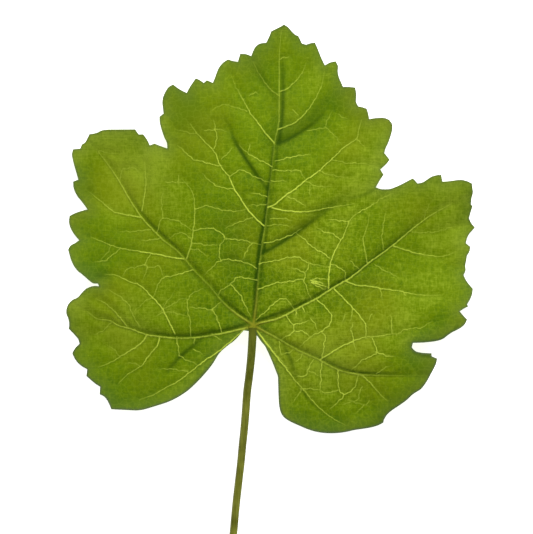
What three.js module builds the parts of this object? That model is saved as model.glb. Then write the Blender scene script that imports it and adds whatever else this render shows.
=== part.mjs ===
// A grape leaf as picked, lying face up on a table: a five-lobed, toothed blade on its stalk, the petiole.
// Millimetres, +Z up, leaf tip towards +Y, origin on the table under the middle of the whole leaf.
import * as THREE from "three";

// Driving dimensions.
const BLADE_WIDTH = 150; // across the two side lobes
const BLADE_THICKNESS = 0.75;
const CROWN_HEIGHT = 9.6; // the middle of the blade above the table, before its creases
const EDGE_WAVE_HEIGHT = 1.5; // how far the blade waves up and down towards its margin
const EDGE_WAVES = 13; // round the whole margin
const EDGE_WAVE_LIMIT = 1.6; // the most that a wave grows beyond the lobes' usual reach
const PETIOLE_LENGTH = 95; // from the blade's base to the cut end
const PETIOLE_TOP_RADIUS = 1.45; // where it runs into the blade
const PETIOLE_WAIST_RADIUS = 1.24; // the thinnest stretch
const PETIOLE_FOOT_RADIUS = 1.8; // the swollen end that sat on the shoot

// Places on the leaf are read in pixels of a photograph that looks straight down on it.
const PHOTO_BLADE_WIDTH = 408.7;
const PHOTO_HUB = [253.5, 325]; // where the ribs meet
const MM_PER_PIXEL = BLADE_WIDTH / PHOTO_BLADE_WIDTH;

// The margin, clockwise from the left of the petiole. Each row is one side of a tooth or one smooth
// stretch: it starts where the last row ended, curves through its points and ends in a corner.
const BASE_LEFT = [248.7, 330.8];
const MARGIN = {
  leftBase: [
    [[244, 330.2]],
    [
      [240.5, 334], [235, 340], [228, 345.3], [220, 352.5], [215.5, 359.5], [210, 367.5], [199, 380],
      [187, 391], [172, 400], [155, 406], [140, 410], [125, 409.8], [111.5, 409.2],
    ],
  ],
  lowerLeftLobe: [
    [[108.5, 402.5], [105, 397.2], [99.6, 394.3]],
    [[99.8, 390], [100.2, 386.8]],
    [[95, 383.5], [86.3, 376]],
    [[86.2, 373.5], [87.2, 369.3]],
    [[80, 365], [75, 359], [72.2, 353]],
    [[74, 349.3], [79.6, 343.7]],
    [[78.8, 340], [74, 334], [69, 328.7]],
    [[69.5, 323], [68.3, 317.5], [66.3, 312], [67.3, 307.5], [69.5, 303], [73, 299.7]],
    [[76.5, 298.6], [81, 294], [85.5, 289.3]],
    [[90, 287], [94, 285.9], [99.3, 286.2]],
  ],
  upperLeftLobe: [
    [[100, 285], [98.3, 283.6]],
    [[94, 283.5], [90, 281], [84, 275.7], [78.6, 271.5]],
    [[74.5, 266.5], [71.5, 260.5], [70, 255.5], [68.2, 249.7]],
    [[70, 246], [74.5, 243.5], [79.3, 240.3]],
    [[75.5, 236], [72, 230.8], [69.6, 225], [69, 220], [69.6, 216]],
    [[74, 213.6], [80, 211.3], [87.5, 209.4]],
    [[82.5, 202.5], [77.5, 196.3], [74.3, 190], [73.2, 185], [73.2, 181.5]],
    [[75, 180.2], [78.4, 179.7]],
    [[76.5, 173], [74.5, 166], [73, 160], [72, 154.5], [73.3, 149.3]],
    [[77, 149.3], [80.5, 148.6]],
    [[82, 144.8], [85.5, 142.3]],
    [[87.8, 138], [89.8, 134.3]],
    [[93, 133.5], [97, 133]],
    [[101, 131], [107, 129.9], [121, 129.8], [135.7, 129.8]],
    [[137.5, 131.8], [139.2, 134.8]],
    [[143.7, 134.8]],
    [[147, 139], [150.3, 145.7]],
    [[152.3, 144.6], [155, 144]],
    [[161, 146.5], [167.7, 148.8]],
  ],
  topLobeLeft: [
    [[167.3, 143.5], [165, 138.7], [162.3, 131], [160.3, 123.5], [160, 117.3]],
    [[162, 115.3], [164, 114.3]],
    [[163.2, 107], [162.8, 101], [165, 94], [169.3, 87.3], [173.5, 85]],
    [[180, 89.8], [187, 93.4]],
    [[190.5, 86.7], [196, 78.7]],
    [[200, 80.5], [204, 83.3]],
    [[205.5, 81.2], [207, 80.6]],
    [[209.5, 82.3], [213, 83.2]],
    [[215.3, 77.5], [218.5, 69], [223, 63.2], [228.3, 59.8]],
    [[233, 61.3], [238, 62]],
    [[240.2, 54.2]],
    [[246, 54.4], [251.3, 56.3]],
    [[253.3, 51], [256.5, 45.8], [260, 43.8]],
    [[266.3, 42.8]],
    [[268.7, 38], [271.2, 31.5]],
    [[276, 29], [280, 27]],
    [[284, 24.6]],
  ],
  topLobeRight: [
    [[288, 27], [291, 30.5], [295.5, 34.7]],
    [[298.3, 35.7]],
    [[300.3, 39.7], [302, 43.3]],
    [[306, 44.6], [310, 43.2], [315, 42.4]],
    [[318.3, 50], [321.5, 58], [325, 65.3]],
    [[330.5, 62.3], [335.8, 61.4]],
    [[338, 66], [337.8, 73], [339.5, 79], [343, 87.2]],
    [[349, 87.3], [354.8, 88]],
    [[356, 94], [356, 103.7], [358, 107]],
    [[362, 107.8], [366.3, 109.3]],
    [[367.7, 113.5], [368.8, 119.7]],
    [
      [374, 118.8], [381, 118.4], [387, 119.3], [391, 122.8], [392, 127.5], [391, 134], [388, 143],
      [384.7, 150], [384, 153.6],
    ],
    [[386.5, 156.5], [389.2, 160.2]],
    [[385.5, 165], [380, 169.8]],
    [[383.2, 175]],
    [[379.5, 180.7], [375.6, 187.6]],
  ],
  rightLobe: [
    [[378, 188.9], [383, 189.4], [390, 189], [400, 185], [407, 181.3], [412.5, 178.5]],
    [[415, 179.6], [417.3, 183.6]],
    [[420.5, 183.4], [427, 179.5], [433, 176], [440.7, 175]],
    [[442.3, 178], [442, 181.8]],
    [[449, 181.3], [460, 180], [467, 181.5], [471.5, 183.7]],
    [[472, 188], [472.6, 193]],
    [[471.3, 198], [470.8, 204.3]],
    [[472.4, 206.5]],
    [[471.6, 210], [469.5, 214.7], [469, 218.3]],
    [[471, 222.5], [475, 227.3]],
    [[471.5, 231.5], [468, 236], [466, 243]],
    [[470.4, 246.7]],
    [[469.8, 251], [467.2, 255.5]],
    [[466.3, 261], [465.2, 267], [465.7, 271.5], [463.6, 275]],
    [[467, 281.7], [472.7, 288.7]],
    [[472, 294], [469.3, 300.3], [466.8, 304.3]],
    [[467.7, 306.5]],
    [[463.5, 308.6], [459.4, 311.3]],
    [[462.5, 315], [466.7, 319.3]],
    [
      [464, 324.7], [459.5, 328.2], [451, 332.6], [447.5, 335], [442, 339], [435, 341], [424, 342.3],
      [412.5, 342.7],
    ],
  ],
  lowerRightLobe: [
    [[410.8, 344.3], [411.7, 347.7], [415, 350.8], [421, 352.4], [431, 353]],
    [[431.3, 356]],
    [[434, 356.4], [436.7, 358.2]],
    [[435.3, 364], [431.5, 371.5], [425, 383], [420, 389]],
    [[412, 394.3], [407, 399.2], [400, 404.5], [392, 410], [387, 414.5], [384, 419.5]],
    [[383.3, 422.5]],
    [
      [377, 425.7], [368, 428], [355, 430], [345, 432.2], [334, 433.3], [322, 432.8], [310, 430],
      [297, 424.5], [288, 420], [282, 414.5], [279.3, 406], [278.5, 395], [278.2, 384], [277.8, 376],
    ],
    [[273.5, 364.5], [269, 354], [264.5, 345], [260.3, 340.3], [258.3, 337]],
    [[257.4, 334], [257, 330.8]],
  ],
};

// Main ribs, from the hub outwards. Each lies at the bottom of a crease whose two walls differ:
// left and right are the widths of the walls on those sides of the rib's own direction, in mm.
const MAIN_RIBS = [
  {
    path: [
      [253.5, 325], [256.3, 300], [258.3, 275], [261.5, 247], [265, 225], [269.6, 190], [273, 163],
      [275.2, 142], [279, 122], [279.6, 92], [279.8, 62], [283.5, 30],
    ],
    depth: 1.5, left: 4, right: 7,
  },
  {
    path: [
      [253, 324.5], [240, 316], [225, 304], [210, 286.5], [193.3, 269.3], [180, 253.5], [160.7, 237.5],
      [141.5, 217], [129, 198], [117, 177.5], [107.5, 163.7], [98.3, 151.7],
    ],
    depth: 1.5, left: 9, right: 3,
  },
  {
    path: [
      [252.5, 325.5], [240, 328.5], [220, 332.5], [200, 336], [180, 337.7], [160, 336.5], [147, 334.2],
      [129, 328], [119.5, 325.8], [109.7, 320.7], [97.7, 318.8], [88, 312],
    ],
    depth: 1.7, left: 9, right: 2.6,
  },
  {
    path: [
      [251.5, 327], [245, 329], [238, 334.5], [228.7, 342.7], [216.7, 352], [200, 363.4], [181.5, 378.5],
      [167.9, 386.4], [154, 394.3], [141, 399],
    ],
    depth: 0.6, left: 5, right: 5,
  },
  {
    path: [
      [254.5, 324.5], [262, 321.5], [280, 317], [300, 306.5], [318, 297], [337, 284.7], [350, 277.5],
      [368, 263], [393, 246], [405, 234.5], [428, 216.5], [450, 204],
    ],
    depth: 1.6, left: 2.8, right: 9,
  },
  {
    path: [
      [254.8, 326], [265, 331.5], [280, 339.5], [296, 348.6], [320, 359.3], [339.5, 369.5], [360, 373.8],
      [378, 374.6], [397, 375], [424.5, 375.7],
    ],
    depth: 1.5, left: 2.8, right: 7,
  },
  {
    path: [
      [254.5, 327.5], [260, 335], [270, 348.5], [280, 360], [294.5, 378.5], [308, 395], [320, 408.5],
      [334, 419], [345, 425],
    ],
    depth: 0.8, left: 5, right: 5,
  },
];

// Side ribs, each from the rib that it leaves.
const SIDE_RIBS = [
  [[264.5, 226], [253.5, 216.5], [243, 202.5], [229, 177.5], [220, 165], [213, 149], [196.5, 133], [187, 119]],
  [[272.5, 168], [260, 160], [247, 152], [237, 143]],
  [[275, 143], [262, 130], [250, 114], [243.5, 100], [237, 89], [230, 72]],
  [[279.5, 95], [267, 85], [256, 70]],
  [[268.3, 208.5], [283, 198], [306.5, 180.5], [327, 165], [342.5, 149], [355, 139.5], [362, 120]],
  [[270, 207.5], [292, 211.8], [317, 210.5], [345, 204.5], [360, 199]],
  [[278.5, 131.5], [292, 124], [304, 114], [317, 97], [323, 80]],
  [[280, 92], [293, 84], [303, 72]],
  [[186, 260], [191.5, 245], [195, 225], [194.5, 200], [188, 183]],
  [[142.5, 213], [145, 198], [146.5, 183], [144.5, 160]],
  [[141.5, 217.5], [125, 214.5], [107, 209.5], [95, 196.5], [85, 190]],
  [[182, 259.5], [160, 255], [137, 250.5], [117, 247.5], [100, 240], [84, 236]],
  [[174, 335], [167, 318], [155, 299], [142, 287.5], [124, 278], [106, 273]],
  [[126.5, 326.5], [115, 313.7], [101, 301], [88, 297]],
  [[147, 334.3], [137, 347], [115, 360], [97, 369]],
  [[160, 337], [153, 352], [142, 366], [126, 378], [115, 388]],
  [[329, 288.5], [329.5, 265], [340, 240], [349, 222], [369, 206.5], [388, 197]],
  [[367, 263], [363.5, 243], [367.5, 220]],
  [[393, 246], [416, 252.5], [440, 255.5], [457, 251]],
  [[346, 281], [365, 285.5], [397, 290.5], [425, 295], [448, 297]],
  [[334, 287.5], [350, 305.5], [365, 322], [365, 336]],
  [[320, 359], [336, 348.7], [354.7, 340.3], [376.7, 336], [397, 334], [424, 324], [445, 318]],
  [[364, 375], [378, 391], [390, 404]],
];
const SIDE_CREASE = { depth: 0.45, left: 3.2, right: 3.2 };
const CREASE_FADE = 0.75; // a crease has lost this share of its depth at its far end
const CREASE_POWER = 1.25; // 1 gives a sharp valley floor, 2 a round one
const MERGE_POWER = 4; // how tightly neighbouring creases keep apart

// The coarser threads of the net between them.
const NET = [
  [[221, 166.5], [208, 163.5], [195, 160], [183, 150]],
  [[230, 177], [236, 172], [243, 170], [254, 177], [270.5, 182.5]],
  [[234, 189], [221, 188], [208, 179]],
  [[255.5, 267.5], [245, 262], [230, 260.5], [218, 262], [204, 276]],
  [[256, 280], [245, 278], [236, 278], [222, 290], [216.5, 295]],
  [[232, 284], [238, 292], [244, 301], [249, 312]],
  [[194, 231], [209, 228], [226, 238], [245, 241], [262, 244.5]],
  [[195, 209.5], [212, 206.5], [230, 211.5], [247, 209]],
  [[264, 243], [277, 240.5], [301, 229]],
  [[259, 264], [275, 260], [300, 257.5], [309, 263.5], [329, 267]],
  [[257.5, 289], [275, 283.5], [303, 280.5], [310.5, 299.5]],
  [[256, 320], [271, 306], [282, 298.5], [292, 309]],
  [[340, 240], [333, 234.5], [318, 229]],
  [[329.5, 258], [312, 246.5], [297, 234]],
  [[372, 338], [376, 351], [366, 358], [352, 368]],
  [[338, 370], [338.5, 388], [343, 396], [332, 407]],
  [[321, 361], [320.5, 380], [320, 390]],
  [[191, 335], [190, 318], [188, 304], [201, 288.5]],
  [[222, 332], [213, 310], [225, 303]],
  [[145, 264.5], [128, 269.5], [118, 276]],
  [[317, 300], [331, 314], [325, 328.5], [303, 345]],
  [[286, 315], [293, 326], [281, 340]],
  [[177, 337], [180, 355], [197, 364]],
  [[140, 326], [131, 309], [112, 292]],
];

// Folds that follow no rib: the blade is buckled there.
const FOLDS = [
  { path: [[230, 128], [240, 150], [255, 175], [267, 192]], depth: 0.9, left: 2.4, right: 4 },
  { path: [[277, 143], [290, 138.5], [305, 131], [320, 119], [334, 104]], depth: 1.3, left: 4.5, right: 7 },
  { path: [[264, 252], [288, 240], [310, 225], [330, 209], [345, 195], [374, 189]], depth: 1.2, left: 4, right: 6 },
  { path: [[206, 338], [190, 350], [176, 362], [162, 376]], depth: 0.9, left: 4, right: 3 },
  { path: [[286, 346], [291, 360], [296, 380]], depth: 0.6, left: 3, right: 2.4 },
];

// The lobes sink to the table at these places: how far they drop, over what radius.
const DROOPS = [
  { at: [286, 46], drop: 8.7, reach: 34 },
  { at: [80, 200], drop: 9.1, reach: 32 },
  { at: [94, 376], drop: 9.6, reach: 28 },
  { at: [340, 428], drop: 9.4, reach: 28 },
  { at: [466, 250], drop: 9.1, reach: 34 },
];

// The ribs stand out from the blade, most of all on its underside.
const RIB_ROOT_WIDTH = 1.9; // a main rib's full width at the hub
const RIB_END_HALF_WIDTH = 0.45; // no rib is narrower
const RIB_ROOT_DEPTH = 1.15; // how far it stands out under the blade there
const SIDE_RIB_SHARE = 0.55; // a side rib against a main one
const NET_SHARE = 0.3;
const UPPER_RIB_SHARE = 0.22; // how much of a rib shows on the upper face
const RIB_END_SHARE = 0.3; // what is left of a rib at its far end

// The round end of the petiole runs on into the blade as a knob.
const KNOB_LENGTH = 4.5;
const KNOB_REACH = 1.2; // in petiole radii, to either side
const KNOB_ROWS = [0.8, 1.7, 2.8, 4];
const KNOB_COLUMNS = [0, -0.42, 0.42, -0.8, 0.8, -1.15, 1.15];

// How finely the solid is meshed: steps along lines, and how near a new vertex may come to others.
const MARGIN_STEP = 1.9;
const RIB_STEP = 2.7;
const FILL_STEP = 4.3;
const BASE_STEPS = 8;
const KNOB_CLEARANCE = 0.35;
const RIB_CLEARANCE = 0.7;
const RIB_SIDE_CLEARANCE = 0.4;
const WALL_CLEARANCE = 1.1;
const FILL_CLEARANCE = 1.9;
const WALL_OFFSET = 1.3; // a row on each wall of a main rib's crease, beside the rib
const FILL_SHIFT = 0.3; // the fill is uneven, so that no four of its points are on one circle

const at = ([x, y]) =>
  new THREE.Vector2((x - PHOTO_HUB[0]) * MM_PER_PIXEL, (PHOTO_HUB[1] - y) * MM_PER_PIXEL);
const clamp = THREE.MathUtils.clamp;

const BASE_Y = at(BASE_LEFT).y;
const PETIOLE_X = at([252.85, 0]).x;

// A smooth line through places on the leaf, as points about step apart.
function smoothLine(stops, step) {
  const curve = new THREE.SplineCurve(stops);
  return curve.getSpacedPoints(Math.max(1, Math.round(curve.getLength() / step)));
}

// The closed margin. Its last side is the straight base edge, which the petiole meets.
function marginOutline() {
  const outline = [];
  let corner = at(BASE_LEFT);
  for (const side of Object.values(MARGIN).flat()) {
    const stops = [corner, ...side.map(at)];
    outline.push(...smoothLine(stops, MARGIN_STEP).slice(0, -1));
    corner = stops.at(-1);
  }
  const base = new THREE.LineCurve(corner, at(BASE_LEFT));
  outline.push(...base.getSpacedPoints(BASE_STEPS).slice(0, -1));
  return outline;
}

// The nearest place on a line: how far off it is, on which side, and its share of the line's length.
function nearestOn(line, point) {
  let best = { distance: Infinity };
  for (let i = 0; i + 1 < line.length; i++) {
    const run = line[i + 1].clone().sub(line[i]);
    const offset = point.clone().sub(line[i]);
    const share = clamp(offset.dot(run) / run.lengthSq(), 0, 1);
    const distance = offset.clone().addScaledVector(run, -share).length();
    if (distance < best.distance) {
      const onLeft = run.cross(offset) > 0;
      best = { distance, onLeft, along: (i + share) / (line.length - 1) };
    }
  }
  return best;
}

const creases = [
  ...MAIN_RIBS,
  ...SIDE_RIBS.map((path) => ({ ...SIDE_CREASE, path })),
  ...FOLDS,
].map((crease) => ({ ...crease, line: smoothLine(crease.path.map(at), RIB_STEP) }));

const ribs = [
  ...MAIN_RIBS.map(({ path }) => ({ path, share: 1 })),
  ...SIDE_RIBS.map((path) => ({ path, share: SIDE_RIB_SHARE })),
  ...NET.map((path) => ({ path, share: NET_SHARE })),
].map((rib) => ({ ...rib, line: smoothLine(rib.path.map(at), RIB_STEP) }));

const ribSize = (share, along) => share * (1 - (1 - RIB_END_SHARE) * along);
const ribHalfWidth = (size) => Math.max(RIB_END_HALF_WIDTH, (RIB_ROOT_WIDTH / 2) * Math.sqrt(size));

// How far all the creases together sink the blade at a point.
function creaseDepth(point) {
  let total = 0;
  for (const { line, depth, left, right } of creases) {
    const { distance, onLeft, along } = nearestOn(line, point);
    const wall = onLeft ? left : right;
    const here = depth * (1 - CREASE_FADE * along ** 2);
    total += (here * Math.exp(-((distance / wall) ** CREASE_POWER))) ** MERGE_POWER;
  }
  return total ** (1 / MERGE_POWER);
}

// The blade's middle surface above the table.
function middleHeight(point) {
  const sunk = DROOPS.reduce((sum, { at: place, drop, reach }) => {
    return sum + drop * Math.exp(-((point.distanceTo(at(place)) / reach) ** 2));
  }, 0);
  const outwards = point.length() / (BLADE_WIDTH / 2);
  const wave = Math.sin(EDGE_WAVES * Math.atan2(point.y, point.x)) * outwards ** 3;
  const lift = (EDGE_WAVE_HEIGHT / 2) * Math.min(wave, EDGE_WAVE_LIMIT);
  return CROWN_HEIGHT - sunk - creaseDepth(point) + lift;
}

// How far the ribs stand out from the blade at a point.
function ribRelief(point) {
  let relief = 0;
  for (const { line, share } of ribs) {
    const { distance, along } = nearestOn(line, point);
    const size = ribSize(share, along);
    const across = distance / ribHalfWidth(size);
    relief = Math.max(relief, RIB_ROOT_DEPTH * size * Math.max(0, 1 - across ** 2));
  }
  return relief;
}

const BASE_HEIGHT = middleHeight(new THREE.Vector2(PETIOLE_X, BASE_Y));

// The lower and upper face at a point. Nothing is lower than the table, and beside the base edge
// both faces swell into the round end of the petiole.
function faces(point) {
  const relief = ribRelief(point);
  const middle = middleHeight(point);
  let lower = middle - BLADE_THICKNESS / 2 - relief;
  let upper = middle + BLADE_THICKNESS / 2 + relief * UPPER_RIB_SHARE;
  const inwards = (point.y - BASE_Y) / KNOB_LENGTH;
  const sideways = (point.x - PETIOLE_X) / PETIOLE_TOP_RADIUS;
  if (inwards < 1 && Math.abs(sideways) < KNOB_REACH) {
    const round = PETIOLE_TOP_RADIUS * Math.sqrt(Math.max(0, 1 - sideways ** 2));
    const swell = 1 - clamp(inwards, 0, 1) ** 2;
    const centre = THREE.MathUtils.lerp(middle, BASE_HEIGHT, swell);
    const half = Math.max(BLADE_THICKNESS / 2, round * swell);
    lower = Math.min(THREE.MathUtils.lerp(lower, centre - half, swell), lower);
    upper = Math.max(THREE.MathUtils.lerp(upper, centre + half, swell), centre + half);
    if (inwards <= 0) [lower, upper] = [BASE_HEIGHT - half, BASE_HEIGHT + half];
  }
  lower = Math.max(0, lower);
  return { lower, upper: Math.max(upper, lower + BLADE_THICKNESS) };
}

function isInside(outline, point) {
  let inside = false;
  for (let i = 0, j = outline.length - 1; i < outline.length; j = i++) {
    const [a, b] = [outline[i], outline[j]];
    const crosses = a.y > point.y !== b.y > point.y;
    if (crosses && point.x < ((b.x - a.x) * (point.y - a.y)) / (b.y - a.y) + a.x) inside = !inside;
  }
  return inside;
}

// Every vertex of one face: the margin, rows along the ribs, the knob at the base and an even fill.
function bladePoints(outline) {
  const points = [...outline];
  const add = (point, clearance) => {
    const crowded = points.some((other) => other.distanceTo(point) < clearance);
    if (!crowded && isInside(outline, point)) points.push(point);
  };
  for (const inwards of KNOB_ROWS) {
    for (const across of KNOB_COLUMNS) {
      const x = PETIOLE_X + across * PETIOLE_TOP_RADIUS;
      add(new THREE.Vector2(x, BASE_Y + inwards), KNOB_CLEARANCE);
    }
  }
  const rows = (rib, offsets, clearance) => {
    rib.line.forEach((point, i) => {
      const ahead = rib.line[Math.min(i + 1, rib.line.length - 1)];
      const behind = rib.line[Math.max(i - 1, 0)];
      const run = ahead.clone().sub(behind).normalize();
      const along = i / (rib.line.length - 1);
      const half = ribHalfWidth(ribSize(rib.share, along));
      for (const [halves, extra] of offsets) {
        const offset = halves * half + extra;
        add(new THREE.Vector2(point.x - run.y * offset, point.y + run.x * offset), clearance);
      }
    });
  };
  for (const rib of ribs) {
    rows(rib, [[0, 0]], RIB_CLEARANCE);
    rows(rib, [[1, 0], [-1, 0]], RIB_SIDE_CLEARANCE);
  }
  for (const rib of ribs.slice(0, MAIN_RIBS.length)) {
    rows(rib, [[1, WALL_OFFSET], [-1, -WALL_OFFSET]], WALL_CLEARANCE);
  }
  const box = new THREE.Box2().setFromPoints(outline);
  const rowStep = FILL_STEP * Math.sin(Math.PI / 3);
  for (let row = 0, y = box.min.y; y < box.max.y; row++, y += rowStep) {
    for (let x = box.min.x + (row % 2) * (FILL_STEP / 2); x < box.max.x; x += FILL_STEP) {
      const shift = FILL_SHIFT * Math.sin(row * row + x);
      add(new THREE.Vector2(x + shift, y - shift), FILL_CLEARANCE);
    }
  }
  return points;
}

// Delaunay's triangles over the points, by adding them one at a time. All turn the same way.
function delaunay(points) {
  const far = 1e4;
  const around = [[-far, -far], [far, -far], [0, far]].map(([x, y]) => new THREE.Vector2(x, y));
  const all = [...points, ...around];
  const n = points.length;
  const withCircle = (a, b, c) => {
    const [p, q, r] = [all[a], all[b], all[c]];
    const d = 2 * (p.x * (q.y - r.y) + q.x * (r.y - p.y) + r.x * (p.y - q.y));
    const [pp, qq, rr] = [p.lengthSq(), q.lengthSq(), r.lengthSq()];
    const x = (pp * (q.y - r.y) + qq * (r.y - p.y) + rr * (p.y - q.y)) / d;
    const y = (pp * (r.x - q.x) + qq * (p.x - r.x) + rr * (q.x - p.x)) / d;
    return { corners: [a, b, c], x, y, radiusSq: (p.x - x) ** 2 + (p.y - y) ** 2 };
  };
  let triangles = [withCircle(n, n + 1, n + 2)];
  points.forEach((point, index) => {
    const opened = new Map();
    triangles = triangles.filter(({ corners, x, y, radiusSq }) => {
      if ((point.x - x) ** 2 + (point.y - y) ** 2 >= radiusSq) return true;
      corners.forEach((a, i) => {
        const b = corners[(i + 1) % 3];
        if (!opened.delete(`${b},${a}`)) opened.set(`${a},${b}`, [a, b]);
      });
      return false;
    });
    for (const [a, b] of opened.values()) triangles.push(withCircle(a, b, index));
  });
  return triangles.map(({ corners }) => corners).filter((corners) => Math.max(...corners) < n);
}

// The blade's triangles in plan. Where a side of the margin is missing from them it gets a point in
// its middle, until they all keep to the margin.
function bladePlan() {
  let outline = marginOutline();
  for (;;) {
    const points = bladePoints(outline);
    const triangles = delaunay(points);
    const sides = new Set(triangles.flatMap(([a, b, c]) => [`${a},${b}`, `${b},${c}`, `${c},${a}`]));
    const isKept = (a, b) => sides.has(`${a},${b}`) || sides.has(`${b},${a}`);
    const refined = outline.flatMap((point, i) => {
      const j = (i + 1) % outline.length;
      return isKept(i, j) ? [point] : [point, point.clone().lerp(outline[j], 0.5)];
    });
    if (refined.length === outline.length) {
      const middle = ([a, b, c]) => points[a].clone().add(points[b]).add(points[c]).divideScalar(3);
      return { points, triangles: triangles.filter((t) => isInside(outline, middle(t))), outline };
    }
    outline = refined;
  }
}

// The blade is one sheet: its plan on the lower and the upper face, closed round the margin.
function bladeGeometry() {
  const { points, triangles, outline } = bladePlan();
  const heights = points.map(faces);
  const n = points.length;
  const positions = [
    ...points.flatMap(({ x, y }, i) => [x, y, heights[i].lower]),
    ...points.flatMap(({ x, y }, i) => [x, y, heights[i].upper]),
  ];
  const index = [];
  for (const [a, b, c] of triangles) index.push(c, b, a, a + n, b + n, c + n);
  outline.forEach((_, i) => {
    const j = (i + 1) % outline.length; // the margin runs clockwise, so its outer side is on the left
    index.push(j, i, i + n, j, i + n, j + n);
  });
  return indexedGeometry(positions, index);
}

function indexedGeometry(positions, index) {
  const geometry = new THREE.BufferGeometry();
  geometry.setAttribute("position", new THREE.Float32BufferAttribute(positions, 3));
  geometry.setIndex(index);
  geometry.computeVertexNormals();
  return geometry;
}

// The petiole leaves the blade level, bends down to the table and lies along it. Its shares are of
// its length, from the blade.
const PETIOLE_PATH = [
  [252.85, 330.8], [252.6, 337], [252, 347], [251, 361], [249.3, 377], [247.2, 392], [245.6, 411],
  [244.2, 430], [242.5, 446], [240.8, 463], [238.9, 482], [236.7, 505], [234, 534], [230.6, 560],
  [227.2, 584],
];
const PETIOLE_SIDES = 18;
const PETIOLE_STATIONS = 44;
const PETIOLE_RIDGES = 6;
const PETIOLE_RIDGE_SHARE = 0.05; // of its radius
const RIDGES_START_SHARE = 0.06; // its end at the blade is plain and round
const LANDING_SHARE = 0.3;
const WAIST_SHARE = 0.55;
const FOOT_SHARES = [0.86, 0.97]; // where the swelling begins and where it is full

function petioleRadius(share) {
  const { lerp, smoothstep } = THREE.MathUtils;
  const slim = lerp(PETIOLE_TOP_RADIUS, PETIOLE_WAIST_RADIUS, clamp(share / WAIST_SHARE, 0, 1));
  return lerp(slim, PETIOLE_FOOT_RADIUS, smoothstep(share, ...FOOT_SHARES));
}

function petioleGeometry() {
  const plan = new THREE.SplineCurve(PETIOLE_PATH.map(at));
  const endAt = Math.min(1, PETIOLE_LENGTH / plan.getLength());
  const positions = [];
  const index = [];
  for (let station = 0; station <= PETIOLE_STATIONS; station++) {
    const share = station / PETIOLE_STATIONS;
    const centre = plan.getPointAt(share * endAt);
    const run = share === 0 ? new THREE.Vector2(0, -1) : plan.getTangentAt(share * endAt);
    const radius = petioleRadius(share);
    const grooved = THREE.MathUtils.smoothstep(share, 0, RIDGES_START_SHARE) * PETIOLE_RIDGE_SHARE;
    const landed = THREE.MathUtils.smoothstep(share, 0, LANDING_SHARE);
    const height = THREE.MathUtils.lerp(BASE_HEIGHT, radius * (1 + grooved), landed);
    for (let side = 0; side < PETIOLE_SIDES; side++) {
      const turn = (side / PETIOLE_SIDES) * 2 * Math.PI;
      const reach = radius * (1 - grooved * Math.cos(PETIOLE_RIDGES * turn));
      const across = reach * Math.cos(turn);
      const x = centre.x - run.y * across;
      const y = centre.y + run.x * across;
      positions.push(x, y, Math.max(0, height + reach * Math.sin(turn)));
    }
  }
  for (let station = 0; station < PETIOLE_STATIONS; station++) {
    for (let side = 0; side < PETIOLE_SIDES; side++) {
      const a = station * PETIOLE_SIDES + side;
      const b = station * PETIOLE_SIDES + ((side + 1) % PETIOLE_SIDES);
      const [c, d] = [a + PETIOLE_SIDES, b + PETIOLE_SIDES];
      index.push(a, b, c, b, d, c);
    }
  }
  const foot = PETIOLE_STATIONS * PETIOLE_SIDES;
  for (let side = 1; side + 1 < PETIOLE_SIDES; side++) {
    index.push(0, side + 1, side);
    index.push(foot, foot + side, foot + side + 1);
  }
  return indexedGeometry(positions, index);
}

function piece(name, geometry, color, roughness) {
  const material = new THREE.MeshStandardMaterial({ color, roughness, metalness: 0 });
  const mesh = new THREE.Mesh(geometry, material);
  mesh.name = name;
  return mesh;
}

const leaf = new THREE.Group();
leaf.add(piece("leaf_blade", bladeGeometry(), 0x6f8f1b, 0.6));
leaf.add(piece("petiole", petioleGeometry(), 0x6c7426, 0.55));

// The origin goes on the table under the middle of the leaf's box.
const box = new THREE.Box3().setFromObject(leaf);
const middle = box.getCenter(new THREE.Vector3());
leaf.position.set(-middle.x, -middle.y, 0);

const part = new THREE.Group();
part.add(leaf);
export default part;
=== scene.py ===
"""A grape leaf as picked: its finely netted, toothed blade and its stalk, lying on a pale floor.

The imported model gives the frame, in metres. Lengths in this file are millimetres unless a name
says otherwise, and places on the leaf are read in pixels of a photograph taken straight above it.
The blade is a sheet of two faces with vertices laid along every vein, which no primitive could be
cut into, so its mesh is worked out in code. The stalk is extruded from a circle by operators.
"""

import logging
import math
from collections.abc import Callable, Iterable, Sequence
from dataclasses import dataclass, field
from enum import Enum, IntEnum

import bpy
import numpy as np
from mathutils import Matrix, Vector
from mathutils.geometry import delaunay_2d_cdt
from mathutils.kdtree import KDTree


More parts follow.
